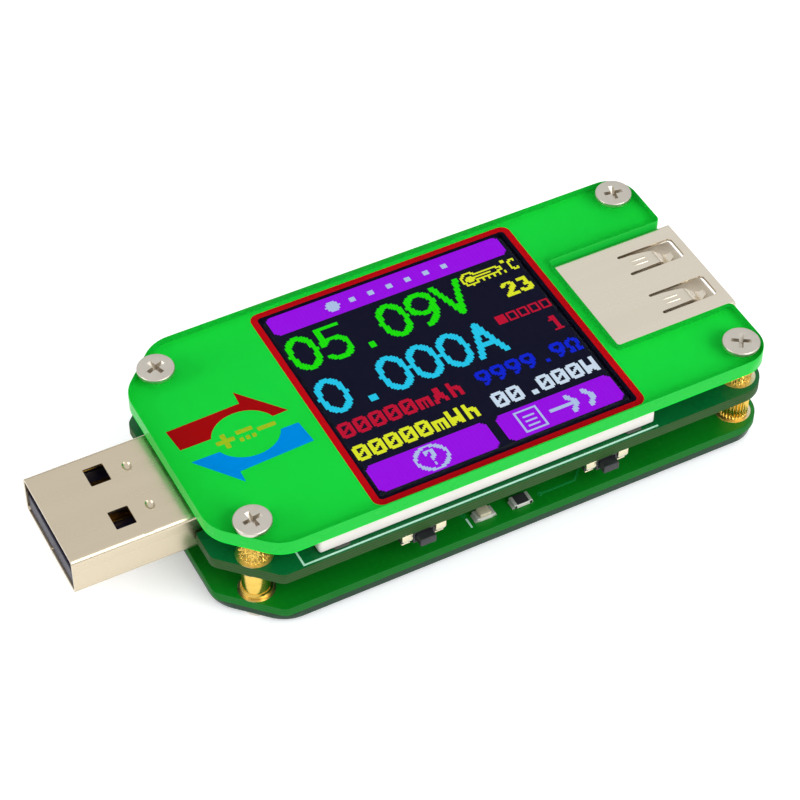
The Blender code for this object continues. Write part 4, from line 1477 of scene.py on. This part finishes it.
class Picture:
    """A grid of display cells, each dark or lit in one colour.

    Columns count from the left, rows from the top.
    """

    def __init__(self, columns: int, rows: int) -> None:
        """Starts with every cell dark."""
        self.columns, self.rows = columns, rows
        self.cells: dict[tuple[int, int], Light] = {}

    def light(self, column: int, row: int, colour: Light) -> None:
        """Lights one cell, if it is on the display."""
        if 0 <= column < self.columns and 0 <= row < self.rows:
            self.cells[column, row] = colour

    def bar(self, left: float, top: float, right: float, bottom: float, colour: Light,
            radius: float = 0) -> None:
        """Fills a rectangle with round corners."""
        for row in range(math.floor(top), math.ceil(bottom)):
            for column in range(math.floor(left), math.ceil(right)):
                x, y = column + 0.5, row + 0.5
                out_x = max(left + radius - x, x - right + radius, 0)
                out_y = max(top + radius - y, y - bottom + radius, 0)
                if math.hypot(out_x, out_y) <= max(radius, 0.01):
                    self.light(column, row, colour)

    def disc(self, x: float, y: float, radius: float, colour: Light) -> None:
        """Fills a disc."""
        self.bar(x - radius, y - radius, x + radius, y + radius, colour, radius)

    def draw(self, strokes: Sequence[Line | Arc], left: float, bottom: float, width: float, height: float,
             pen: float, colour: Light) -> None:
        """Draws strokes with a square pen.

        Args:
            strokes: The strokes, in a cell 4 wide and 7 high.
            left: The column at the cell's left side.
            bottom: The row at the cell's foot.
            width: The cell's width.
            height: The cell's height.
            pen: The pen's width, in display cells.
            colour: The colour.
        """
        for stroke in strokes:
            for x, y in stroke.spots():
                at_x = left + pen / 2 + x / 4 * (width - pen)
                at_y = bottom - pen / 2 - y / 7 * (height - pen)
                flat = max(1.0, 0.85 * pen)
                for row in range(math.floor(at_y - flat / 2 + 0.5), math.floor(at_y + flat / 2 + 0.5)):
                    for column in range(math.floor(at_x - pen / 2 + 0.5), math.floor(at_x + pen / 2 + 0.5)):
                        self.light(column, row, colour)

    def write(self, signs: Sequence[str], left: float, bottom: float, pitch: float, height: float,
              pen: float, colour: Light, slashed: bool = False) -> None:
        """Writes a row of signs, one to a cell of the pitch, with the point as a square dot."""
        width = pitch - (1.0 if pitch < 12 else 0.0)
        for place, sign in enumerate(signs):
            start = left + place * pitch
            if sign == ".":
                dot, at = pen * 1.35, start + 0.36 * pitch
                self.bar(round(at), round(bottom - dot), round(at + dot), round(bottom), colour)
                continue
            shape = "square 0" if slashed and sign == "0" else sign
            thin = min(pen, 1.5) if sign == "m" else pen
            self.draw(SIGNS[shape], start, bottom, width, height, thin, colour)
            if slashed and sign == "0":
                self.draw(SIGNS["/"], start, bottom, width, height, 1.0, colour)

    def runs(self, colour: Light) -> list[tuple[int, int, int]]:
        """Returns the row and first and last column of each run of cells of one colour."""
        found = []
        for row in range(self.rows):
            first = None
            for column in range(self.columns + 1):
                here = self.cells.get((column, row)) is colour
                if here and first is None:
                    first = column
                elif not here and first is not None:
                    found.append((row, first, column))
                    first = None
        return found


@dataclass
class Display:
    """The display module: backlight tray, glass with its polariser, lit picture, tape and folded flex."""

    cells: int = 128
    active_low: Point = (-12.82, -12.36)
    active_high: Point = (13.77, 13.46)
    tray_edge: float = 0.12
    groove_drop: float = 0.42
    polariser_inset: float = 0.35
    polariser_thick: float = 0.12
    polariser_sink: float = 0.04
    ledge: float = 1.6          # the strip of the lower glass that the upper one leaves free
    glass_edge: float = 0.03
    cell_thick: float = 0.01
    tray_round: float = 0.3
    glass_round: float = 0.1
    groove: float = 0.05        # depth of the parting groove round the tray

    def build(self) -> None:
        """Builds the module."""
        self.centre = stack_centre()
        self.tray()
        self.glass()
        self.picture()
        for side in ("left", "right"):
            low, high = node_box(f"lcd_tape_{side}")
            tape = Solid()
            tape.plate([rectangle((low.x, low.y), (high.x, high.y), 0.25)], low.z, high.z, 0.03)
            fit(tape.piece(f"foam_tape_{side}"), [Finishes.FOAM_TAPE], [f"lcd_tape_{side}"])
        refinish("lcd_flex", Finishes.FLEX)

    def tray(self) -> None:
        """Builds the white tray: two halves with the parting groove between them."""
        low, high = node_box("lcd_frame")
        split = high.z - self.groove_drop
        tray = Solid()
        outline = rectangle((low.x, low.y), (high.x, high.y), self.tray_round)
        tray.plate([outline], low.z, split - 0.03, self.tray_edge)
        inset = self.groove
        tray.plate([rectangle((low.x + inset, low.y + inset), (high.x - inset, high.y - inset),
                              self.tray_round)], split - 0.1, split + 0.05)
        tray.plate([outline], split, high.z, 0.08)
        fit(tray.piece("backlight_tray"), [Finishes.WHITE_POLYCARBONATE], ["lcd_frame"])

    def glass(self) -> None:
        """Builds the two glasses and the polariser on them."""
        low, high = node_box("lcd_glass")
        pane = Solid()
        middle = high.z - self.polariser_thick
        outline = rectangle((low.x, low.y), (high.x, high.y), self.glass_round)
        pane.plate([outline], low.z, (low.z + middle) / 2 - 0.01, self.glass_edge)
        left = low.x + self.ledge
        upper = rectangle((left, low.y), (high.x, high.y), self.glass_round)
        pane.plate([upper], (low.z + middle) / 2, middle, self.glass_edge)
        gap, top = self.polariser_inset, high.z - self.polariser_sink
        pane.plate([rectangle((left + gap, low.y + gap), (high.x - gap, high.y - gap), 0.2)],
                   middle + 0.005, top, 0.02)
        fit(pane.piece("display_glass"), [Finishes.LCD_GLASS], ["lcd_glass"])
        self.face_z = top + LAYER_GAP / 2

    def picture(self) -> None:
        """Draws the readings and lights their cells."""
        shown = Picture(self.cells, self.cells)
        self.draw_status(shown)
        self.draw_readings(shown)
        self.draw_keys(shown)
        dark = Solid()
        (left, front), (right, back) = self.active_low, self.active_high
        dark.plate([rectangle((left + self.centre, front), (right + self.centre, back))], self.face_z,
                   self.face_z + self.cell_thick)
        fit(dark.piece("display_dark_field"), [Light.NIGHT])
        pitch_x, pitch_y = (right - left) / self.cells, (back - front) / self.cells
        low = self.face_z + self.cell_thick + LAYER_GAP / 3
        for colour in Light:
            runs = shown.runs(colour)
            if not runs:
                continue
            lit = Solid()
            for row, first, last in runs:
                lit.box((left + self.centre + first * pitch_x, back - (row + 1) * pitch_y, low),
                        (left + self.centre + last * pitch_x, back - row * pitch_y, low + self.cell_thick))
            fit(lit.piece(f"display_{colour.name.lower()}_cells"), [colour])

    def draw_status(self, shown: Picture) -> None:
        """Draws the page bar with its dots, the thermometer and the group number."""
        shown.bar(1, 0, 127, 14, Light.PURPLE, 4)
        shown.disc(34, 7.5, 3.6, Light.LILAC)
        for place in range(6):
            shown.disc(44.5 + 10 * place, 7.5, 1.7, Light.LILAC)
        yellow = Light.YELLOW
        shown.draw([Arc((2, 3.5), (2, 3.5), 30, 330)], 97, 26.5, 9, 9.5, 1.0, yellow)
        stem = Line(((0, 5.4), (3.6, 5.4), (4, 4.6), (4, 2.4), (3.6, 1.6), (0, 1.6)))
        shown.draw([stem], 104.5, 25, 14, 7, 1.0, yellow)
        shown.disc(101.5, 21.8, 2.3, yellow)
        shown.bar(103, 21, 113, 22, yellow)
        for place in range(5):
            shown.bar(107 + 3 * place, 24, 108 + 3 * place, 26, yellow)
        shown.disc(121, 17.8, 1.2, yellow)
        shown.draw(SIGNS["C"], 122.5, 26, 5.5, 8, 1.0, yellow)
        shown.write("23", 112, 42, 8, 10.5, 1.9, yellow)
        for place in range(5):
            left, red = 99 + 6 * place, Light.CRIMSON
            shown.bar(left, 51, left + 5, 57, red)
            if place:
                shown.bar(left + 1, 52, left + 4, 56, Light.NIGHT)
        shown.write("1", 120, 73.5, 8, 10.5, 1.9, Light.CRIMSON)

    def draw_readings(self, shown: Picture) -> None:
        """Writes the six readings."""
        shown.write("05.09V", 0, 42, 16, 24, 2.7, Light.GREEN)
        shown.write("0.000A", 0, 74, 16, 24, 2.8, Light.CYAN)
        shown.write("00000mAh", 0, 90, 8, 10, 2.0, Light.CRIMSON, slashed=True)
        shown.write([*"9999.9", "ohm"], 72, 90, 8, 10, 1.6, Light.BLUE)
        shown.write("00000mWh", 0, 106, 8, 10, 2.0, Light.YELLOW, slashed=True)
        shown.write("00.000W", 72, 106, 8, 10, 2.0, Light.WHITE, slashed=True)

    def draw_keys(self, shown: Picture) -> None:
        """Draws the two soft keys, for help and for the next page."""
        shown.bar(0, 110, 62, 128, Light.PURPLE, 3.5)
        shown.bar(67, 110, 128, 128, Light.PURPLE, 3.5)
        lilac = Light.LILAC
        shown.draw([Arc((2, 3.5), (2, 3.5))], 22, 127, 17, 16, 1.4, lilac)
        shown.draw(SIGNS["?"], 27, 124, 7, 10.5, 1.8, lilac)
        shown.draw([Line(((0, 0), (0, 7), (4, 7), (4, 0), (0, 0)))], 76, 126, 12, 14, 1.2, lilac)
        for row in (116, 119, 122):
            shown.bar(79, row, 85, row + 1, lilac)
        shown.bar(92, 118, 104, 120, lilac)
        shown.draw(SIGNS[">"], 101, 125.5, 7, 13, 1.9, lilac)
        shown.draw(SIGNS[">"], 110, 125.5, 7, 13, 1.9, lilac)


# --- Side switches -------------------------------------------------------------------------------------


@dataclass
class SideSwitches:
    """Four side switches: a moulded body between two tinned ears, each with its own black button."""

    ear: float = 1.15
    ear_drop: float = 0.85
    well_play: float = 0.07
    travel_room: float = 0.34   # behind the button's heel, for its press
    cover_thick: float = 0.15
    shelf: float = 0.12         # how far the mould's front lies behind the ears
    button_edge: float = 0.12
    heel: float = 0.4
    heel_play: float = 0.02

    def build(self) -> None:
        """Builds the switches and buttons."""
        for side, front in (("front", True), ("back", False)):
            for number in (1, 2):
                self.switch(f"{side}_switch_{number}", f"{side}_button_{number}", front)
                self.button(f"{side}_button_{number}", f"{side}_key_{number}", front)

    def switch(self, node: str, button: str, front: bool) -> None:
        """Builds one switch round its button."""
        low, high = node_box(node)
        key_low, key_high = node_box(button)
        sign = -1 if front else 1
        face = low.y if front else high.y
        rear = high.y if front else low.y
        middle = (low.x + high.x) / 2
        play = self.well_play
        inner = self.ear
        body = Solid()
        root = key_high.y + self.travel_room if front else key_low.y - self.travel_room

        def block(x0: float, x1: float, y0: float, y1: float, z0: float, z1: float, edge: float,
                  finish: int) -> None:
            """Adds a block, its Y given in any order."""
            body.box((x0, min(y0, y1), z0), (x1, max(y0, y1), z1), edge, finish)

        shelf = face - sign * self.shelf
        block(middle - inner, middle + inner, root, rear, low.z + 0.1, high.z - 0.02, 0.06, 1)
        block(middle - inner, middle + inner, shelf, root, low.z + 0.1, key_low.z - play, 0.03, 1)
        block(middle - inner, middle + inner, shelf, root, key_high.z + play, high.z - 0.02, 0.03, 1)
        block(middle - inner, key_low.x - play, shelf, root, key_low.z - play, key_high.z + play, 0.02, 1)
        block(key_high.x + play, middle + inner, shelf, root, key_low.z - play, key_high.z + play, 0.02, 1)
        for hand in (-1, 1):
            outer = middle + hand * (high.x - low.x) / 2
            near = middle + hand * (inner + 0.05)
            x0, x1 = min(outer, near), max(outer, near)
            drop = high.z - self.ear_drop
            block(x0, x1, face, face - sign * 0.5, drop, high.z, 0.09, 0)
            block(x0 + 0.15, x1 - 0.1, face - sign * 0.05, face - sign * 0.5, drop - 0.14, drop + 0.1,
                  0.06, 2)
            block(x0 + 0.05, x1 - 0.05, face - sign * 0.45, rear, low.z + 0.15, high.z - 0.1, 0.06, 1)
            block(x0 + 0.1, x1 - 0.1, face - sign * 0.4, rear, low.z, low.z + self.cover_thick, 0.05, 0)
        block(middle - inner - 0.1, middle + inner + 0.1, rear, face - sign * 0.6, low.z,
              low.z + self.cover_thick, 0.05, 0)
        fit(body.piece(f"{node}_body"), [Finishes.TIN, Finishes.BLACK_PLASTIC, Finishes.SOLDER],
            [node])

    def button(self, node: str, body: str, front: bool) -> None:
        """Builds one button: a rounded key with a wider heel inside the switch."""
        low, high = node_box(node)
        key = Solid()
        key.box(low, high, self.button_edge)
        play = self.heel_play
        near, far = (high.y - self.heel, high.y - play) if front else (low.y, low.y + self.heel)
        key.box((low.x + play, near, low.z + play), (high.x - play, far, high.z - play), 0.04)
        fit(key.piece(f"{node}_key"), [Finishes.BLACK_PLASTIC], [node], body)


# --- Small parts ---------------------------------------------------------------------------------------


@dataclass
class SmallParts:
    """The electronic parts on the two boards and the connector between them."""

    lead_thick: float = 0.12
    pin: float = 0.3
    pin_play: float = 0.05
    pin_pitch: float = 2.54
    row_corner: float = 0.25
    # The slope of a solder fillet: how far each point is out from the foot of the part's end, and the share
    # of the fillet's height that it is at.
    fillet_slope: tuple[Point, ...] = ((-0.14, 1.0), (-0.08, 0.7), (0.0, 0.3))
    fillet_toe: Point = (0.09, 0.04)
    fillet_width: float = 0.86

    def build(self) -> None:
        """Builds every small part."""
        self.led()
        self.chip_resistor("led_resistor", True)
        self.gull_chip("microcontroller", False, (7.0, 7.0), 0.8, 8, True)
        self.gull_chip("memory_chip", True, (4.9, 3.9), 1.27, 4, False)
        self.can("crystal")
        self.chip_resistor("shunt_resistor", False)
        self.regulator()
        self.capacitor("filter_capacitor")
        self.connector()

    def led(self) -> None:
        """Builds the light: white ceramic, clear resin and two soldered ends."""
        place, size = seat("status_led", True)
        x, y, z = size / 2
        body = Solid()
        body.box((-x + 0.3, -y, 0.0), (x - 0.3, y, 0.4), 0.04, 0, place)
        body.box((-x + 0.38, -y + 0.08, 0.38), (x - 0.38, y - 0.08, 2 * z), 0.12, 1, place)
        self.ends(body, place, Vector((x, y - 0.02, 0.44)), 0.34, 0.05, 2)
        self.fillets(body, place, (x + 0.1, y, 0.34), 2)
        fit(body.piece("status_light"), [Finishes.CERAMIC_WHITE, Finishes.LED_RESIN, Finishes.SOLDER],
            ["status_led"])

    def ends(self, body: Solid, place: Matrix, reach: Vector, cap: float, edge: float, finish: int) -> None:
        """Adds the two ends of a chip, from half its length, half its width and their height."""
        for hand in (-1, 1):
            near, far = sorted((hand * reach.x, hand * (reach.x - cap)))
            body.box((near, -reach.y, 0.0), (far, reach.y, reach.z), edge, finish, place)

    def fillets(self, body: Solid, place: Matrix, reach: Corner, finish: int) -> None:
        """Adds the solder at both ends of a chip, from its reach, half the chip's width and its height."""
        x, half, height = reach
        width = half * self.fillet_width
        upright = place @ Matrix.Rotation(math.pi / 2, 4, "X")
        for hand in (-1, 1):
            slope = [(hand * (x + out), height * share) for out, share in self.fillet_slope]
            toe = hand * (x + self.fillet_toe[0])
            foot = [(toe, self.fillet_toe[1]), (toe, 0.0), (slope[0][0], 0.0)]
            body.plate([[Vector(spot) for spot in (*slope, *foot)]], -width, width, 0.015, finish,
                       matrix=upright)

    def chip_resistor(self, node: str, up: bool) -> None:
        """Builds a chip resistor: white ceramic, black glaze on top and wrapped ends."""
        place, size = seat(node, up)
        x, y, top = size.x / 2, size.y / 2, size.z
        cap = 0.17 * size.x
        body = Solid()
        body.box((-x + 0.03, -y, 0.02), (x - 0.03, y, top - 0.06), 0.03, 0, place)
        body.box((-x + cap + 0.02, -y + 0.03, top - 0.08), (x - cap - 0.02, y - 0.03, top), 0.02, 1, place)
        self.ends(body, place, Vector((x, y, top - 0.03)), cap, 0.05, 2)
        self.fillets(body, place, (x + 0.08, y, 0.6 * top), 2)
        fit(body.piece(f"{node}_chip"), [Finishes.CERAMIC_WHITE, Finishes.CHIP_RESIN, Finishes.SOLDER],
            [node])

    def capacitor(self, node: str) -> None:
        """Builds a ceramic capacitor with wrapped ends."""
        place, size = seat(node, False)
        x, y, top = size.x / 2, size.y / 2, size.z
        body = Solid()
        body.box((-x + 0.03, -y + 0.03, 0.02), (x - 0.03, y - 0.03, top - 0.03), 0.06, 0, place)
        self.ends(body, place, Vector((x, y, top)), 0.55, 0.09, 1)
        self.fillets(body, place, (x + 0.1, y, 0.5 * top), 1)
        fit(body.piece("ceramic_capacitor"), [Finishes.CERAMIC_TAN, Finishes.SOLDER], [node])

    def gull_chip(self, node: str, up: bool, size: tuple[float, float], pitch: float, legs: int,
                  all_sides: bool) -> None:
        """Builds a chip with gull-wing legs.

        Args:
            node: Its CAD node.
            up: Whether its board is under it.
            size: The length and width of its body.
            pitch: The spacing of its legs.
            legs: How many legs a side has.
            all_sides: Whether its ends have legs too.
        """
        place, full = seat(node, up)
        body = Solid()
        lift, top = 0.1, full.z
        waist = (lift + top) / 2
        draft = 0.09
        x, y = size[0] / 2, size[1] / 2
        lower = rectangle((-x + draft / 2, -y + draft / 2), (x - draft / 2, y - draft / 2), 0.12)
        body.plate([rectangle((-x, -y), (x, y), 0.12)], waist - 0.12, waist + 0.12, 0.05, 0, matrix=place)
        body.plate([lower], lift, waist, 0.06, 0, matrix=place)
        body.plate([lower], waist, top, 0.1, 0, matrix=place)
        mark = place @ Matrix.Translation((-x + 0.8, -y + 0.8, top - 0.02))
        body.turned([(0.0, 0.026), (0.22, 0.026), (0.26, 0.03), (0.3, 0.026), (0.3, 0.0), (0.0, 0.0)], mark,
                    28, 0)
        for quarter in range(4):
            if quarter % 2 == 0 and not all_sides:
                continue
            reach = x if quarter % 2 == 0 else y
            turn = place @ Matrix.Rotation(quarter * math.pi / 2, 4, "Z")
            shape = [(reach + out, level, 0.15) for out, level in (
                (-0.1, waist), (0.25, waist), (0.36, waist - 0.06), (0.46, 0.24), (0.56, 0.14),
                (0.88, 0.12))]
            for leg in range(legs):
                body.strip(shape, self.lead_thick, (leg - (legs - 1) / 2) * pitch, 1, turn)
        fit(body.piece(f"{node}_package"), [Finishes.CHIP_RESIN, Finishes.TIN], [node])

    def can(self, node: str) -> None:
        """Builds the crystal: a ceramic tray under a seam-welded lid."""
        place, size = seat(node, False)
        x, y, top = size.x / 2, size.y / 2, size.z
        body = Solid()
        body.plate([rectangle((-x, -y), (x, y), 0.2)], 0.0, 0.45 * top, 0.03, 1, matrix=place)
        body.plate([rectangle((-x + 0.1, -y + 0.1), (x - 0.1, y - 0.1), 0.3)], 0.45 * top, 0.8 * top, 0.05,
                   0, matrix=place)
        body.plate([rectangle((-x + 0.35, -y + 0.35), (x - 0.35, y - 0.35), 0.25)], 0.75 * top, top, 0.08, 0,
                   matrix=place)
        fit(body.piece("crystal_can"), [Finishes.SATIN_NICKEL, Finishes.CERAMIC_TAN], [node])

    def regulator(self) -> None:
        """Builds the regulator: a moulded body with three legs and a wide heat tab."""
        place, size = seat("voltage_regulator", False)
        x, y, top = size.x / 2, size.y / 2, size.z
        body = Solid()
        body.plate([rectangle((-x, -y + 0.45), (x, y - 0.35), 0.1)], 0.03, top, 0.12, 0, matrix=place)
        body.box((-0.85, y - 0.5, 0.0), (0.85, y, 0.35), 0.05, 1, place)
        turn = place @ Matrix.Rotation(-math.pi / 2, 4, "Z")
        shape = [(y - 0.5, 0.4, 0.2), (y - 0.25, 0.38, 0.2), (y - 0.15, 0.2, 0.2), (y, 0.16, 0.2)]
        for leg in (-1.5, 0.0, 1.5):
            body.strip(shape, 0.15, leg, 1, turn)
        fit(body.piece("regulator_package"), [Finishes.CHIP_RESIN, Finishes.TIN],
            ["voltage_regulator"])

    def connector(self) -> None:
        """Builds the two halves of the connector between the boards, with their pins."""
        for node, pins in (("board_socket", False), ("board_header", True)):
            low, high = node_box(node)
            body = Solid()
            count = round((high.x - low.x) / self.pin_pitch)
            pitch = (high.x - low.x) / count
            y = (low.y + high.y) / 2
            foot, top = (low.z - 0.25, high.z) if pins else (low.z, high.z - 0.4)
            pin, hole = self.pin, self.pin + self.pin_play
            for place in range(count):
                left = low.x + place * pitch
                x = left + pitch / 2
                body.plate([rectangle((left, low.y), (left + pitch, high.y), self.row_corner),
                            rectangle((x - hole, y - hole), (x + hole, y + hole))], low.z, high.z, 0.05, 0)
                body.box((x - pin, y - pin, foot), (x + pin, y + pin, top), 0.06, 1)
            fit(body.piece(f"{node}_row"), [Finishes.BLACK_PLASTIC, Finishes.GOLD_FLASH],
                [node])


# --- Studio --------------------------------------------------------------------------------------------


@dataclass
class Studio:
    """A pale sheet of paper, two broad soft lamps and the camera."""

    floor_half: float = 900.0
    sky: str = "f2f4f6"
    sky_strength: float = 1.0
    wall_strength: float = 0.45
    wall_top: Point = (0.1, 0.55)       # the heights between which the walls turn into the bright sky
    table_glow: float = 0.3
    camera_at: tuple[float, float, float] = (-79.46, -154.853, 191.653)
    camera_down: float = 46.466
    camera_turn: float = 27.549
    lens: float = 116.55

    def build(self) -> None:
        """Builds the studio."""
        floor = Solid()
        half = self.floor_half
        floor.box((-half, -half, -1.2), (half, half, -0.02))
        paper = floor.piece("paper_floor")
        sheet = Finishes.PAPER.value.material()
        shader = sheet.node_tree.nodes["Principled BSDF"]
        shader.inputs["Emission Color"].default_value = linear(self.sky)
        shader.inputs["Emission Strength"].default_value = self.table_glow
        paper.data.materials.append(sheet)
        world = bpy.data.worlds.new("studio")
        bpy.context.scene.world = world
        world.use_nodes = True
        tree = world.node_tree
        background = tree.nodes["Background"]
        background.inputs["Color"].default_value = linear(self.sky)
        where = add_node(tree, "ShaderNodeTexCoord")
        height = add_node(tree, "ShaderNodeSeparateXYZ", None, {"Vector": where.outputs["Generated"]})
        share = add_node(tree, "ShaderNodeMapRange",
                         {"From Min": self.wall_top[0], "From Max": self.wall_top[1],
                          "To Min": self.wall_strength, "To Max": self.sky_strength},
                         {"Value": height.outputs["Z"]})
        tree.links.new(share.outputs["Result"], background.inputs["Strength"])
        self.lamp("key_softbox", (144, -327, 275), 300, 0.9)
        self.lamp("left_softbox", (-420, 40, 190), 220, 0.5)
        bpy.context.scene.view_settings.view_transform = "Standard"
        self.camera()

    def lamp(self, name: str, at: Corner, size: float, power: float) -> None:
        """Hangs a square lamp that faces the meter.

        Args:
            name: Its name.
            at: Where it is.
            size: The length of its side.
            power: Its power in watts.
        """
        light = bpy.data.lights.new(name, "AREA")
        light.energy = power
        light.size = size * MM
        lamp = bpy.data.objects.new(name, light)
        lamp.location = Vector(at) * MM
        lamp.rotation_euler = (-Vector(at)).to_track_quat("-Z", "Y").to_euler()
        bpy.context.scene.collection.objects.link(lamp)

    def camera(self) -> None:
        """Sets the camera over the plug's front side, looking down at the display."""
        data = bpy.data.cameras.new("camera")
        data.lens = self.lens
        data.clip_start = 0.01
        camera = bpy.data.objects.new("camera", data)
        camera.location = Vector(self.camera_at) * MM
        camera.rotation_euler = (math.radians(90 - self.camera_down), 0, math.radians(-self.camera_turn))
        bpy.context.scene.collection.objects.link(camera)
        bpy.context.scene.camera = camera


# --- Assembly ------------------------------------------------------------------------------------------


def build_boards() -> None:
    """Builds the two circuit boards with their tracks and legends."""
    main = Board("main_board", SheetShape("main_board", cut_round=1.2, plug_notch=True))
    main.build()
    main.lands("main_board_lands")
    main.lands("main_board_under_lands", False)
    main.legend("main_board_legend", [[(16.35, -14.4), (-21.9, -14.4), (-21.9, 14.4), (16.35, 14.4)]])
    main.tracks("main_board_under_tracks", [
        [(-18, -12.6), (-14, -12.6), (-12.5, -11.1), (-4.5, -11.1), (-2.5, -9.1), (-2.5, -3)],
        [(6, -12.4), (4.4, -12.4), (2.4, -10.4), (2.4, -4)],
        [(18, -12.9), (16, -12.9), (13.2, -10.1), (13.2, -6)],
        [(-18, 12.6), (-13, 12.6), (-11.5, 11.1), (-8, 11.1)],
        [(18, 12.6), (14, 12.6), (12, 10.6), (8, 10.6)]], False)
    lower = Board("lower_board", SheetShape("lower_board", cut_round=1.2, port_notch=False),
                  Finishes.LOWER_MASK, Finishes.LOWER_EDGE)
    lower.build()
    lower.lands("lower_board_lands")
    lower.legend("lower_board_legend", [[(-3.8, -13.85), (-3.8, -12.6)]])
    lower.tracks("lower_board_tracks", [
        [(-20, -8), (-12, -8), (-9, -11), (-5, -11), (-3.9, -12.1)],
        [(4.1, -13.1), (8, -13.1), (10, -11.1), (22, -11.1), (23.5, -9.6), (23.5, 4)],
        [(-22, 6), (-17, 11), (-9, 11), (-8, 10.4)],
        [(8, 10.4), (12, 12.6), (20, 12.6), (22, 10.6), (22, 6)]])


def main() -> None:
    """Builds the meter's looks round the frame, then the studio."""
    logging.basicConfig(level=logging.INFO, format="%(name)s %(message)s")
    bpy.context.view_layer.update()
    FrontPlate().build()
    BackPlate().build()
    build_boards()
    Screws().build()
    Spacers().build()
    Plug().build()
    Socket().build()
    Display().build()
    SideSwitches().build()
    SmallParts().build()
    Studio().build()
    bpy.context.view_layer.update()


if __name__ == "__main__":
    main()
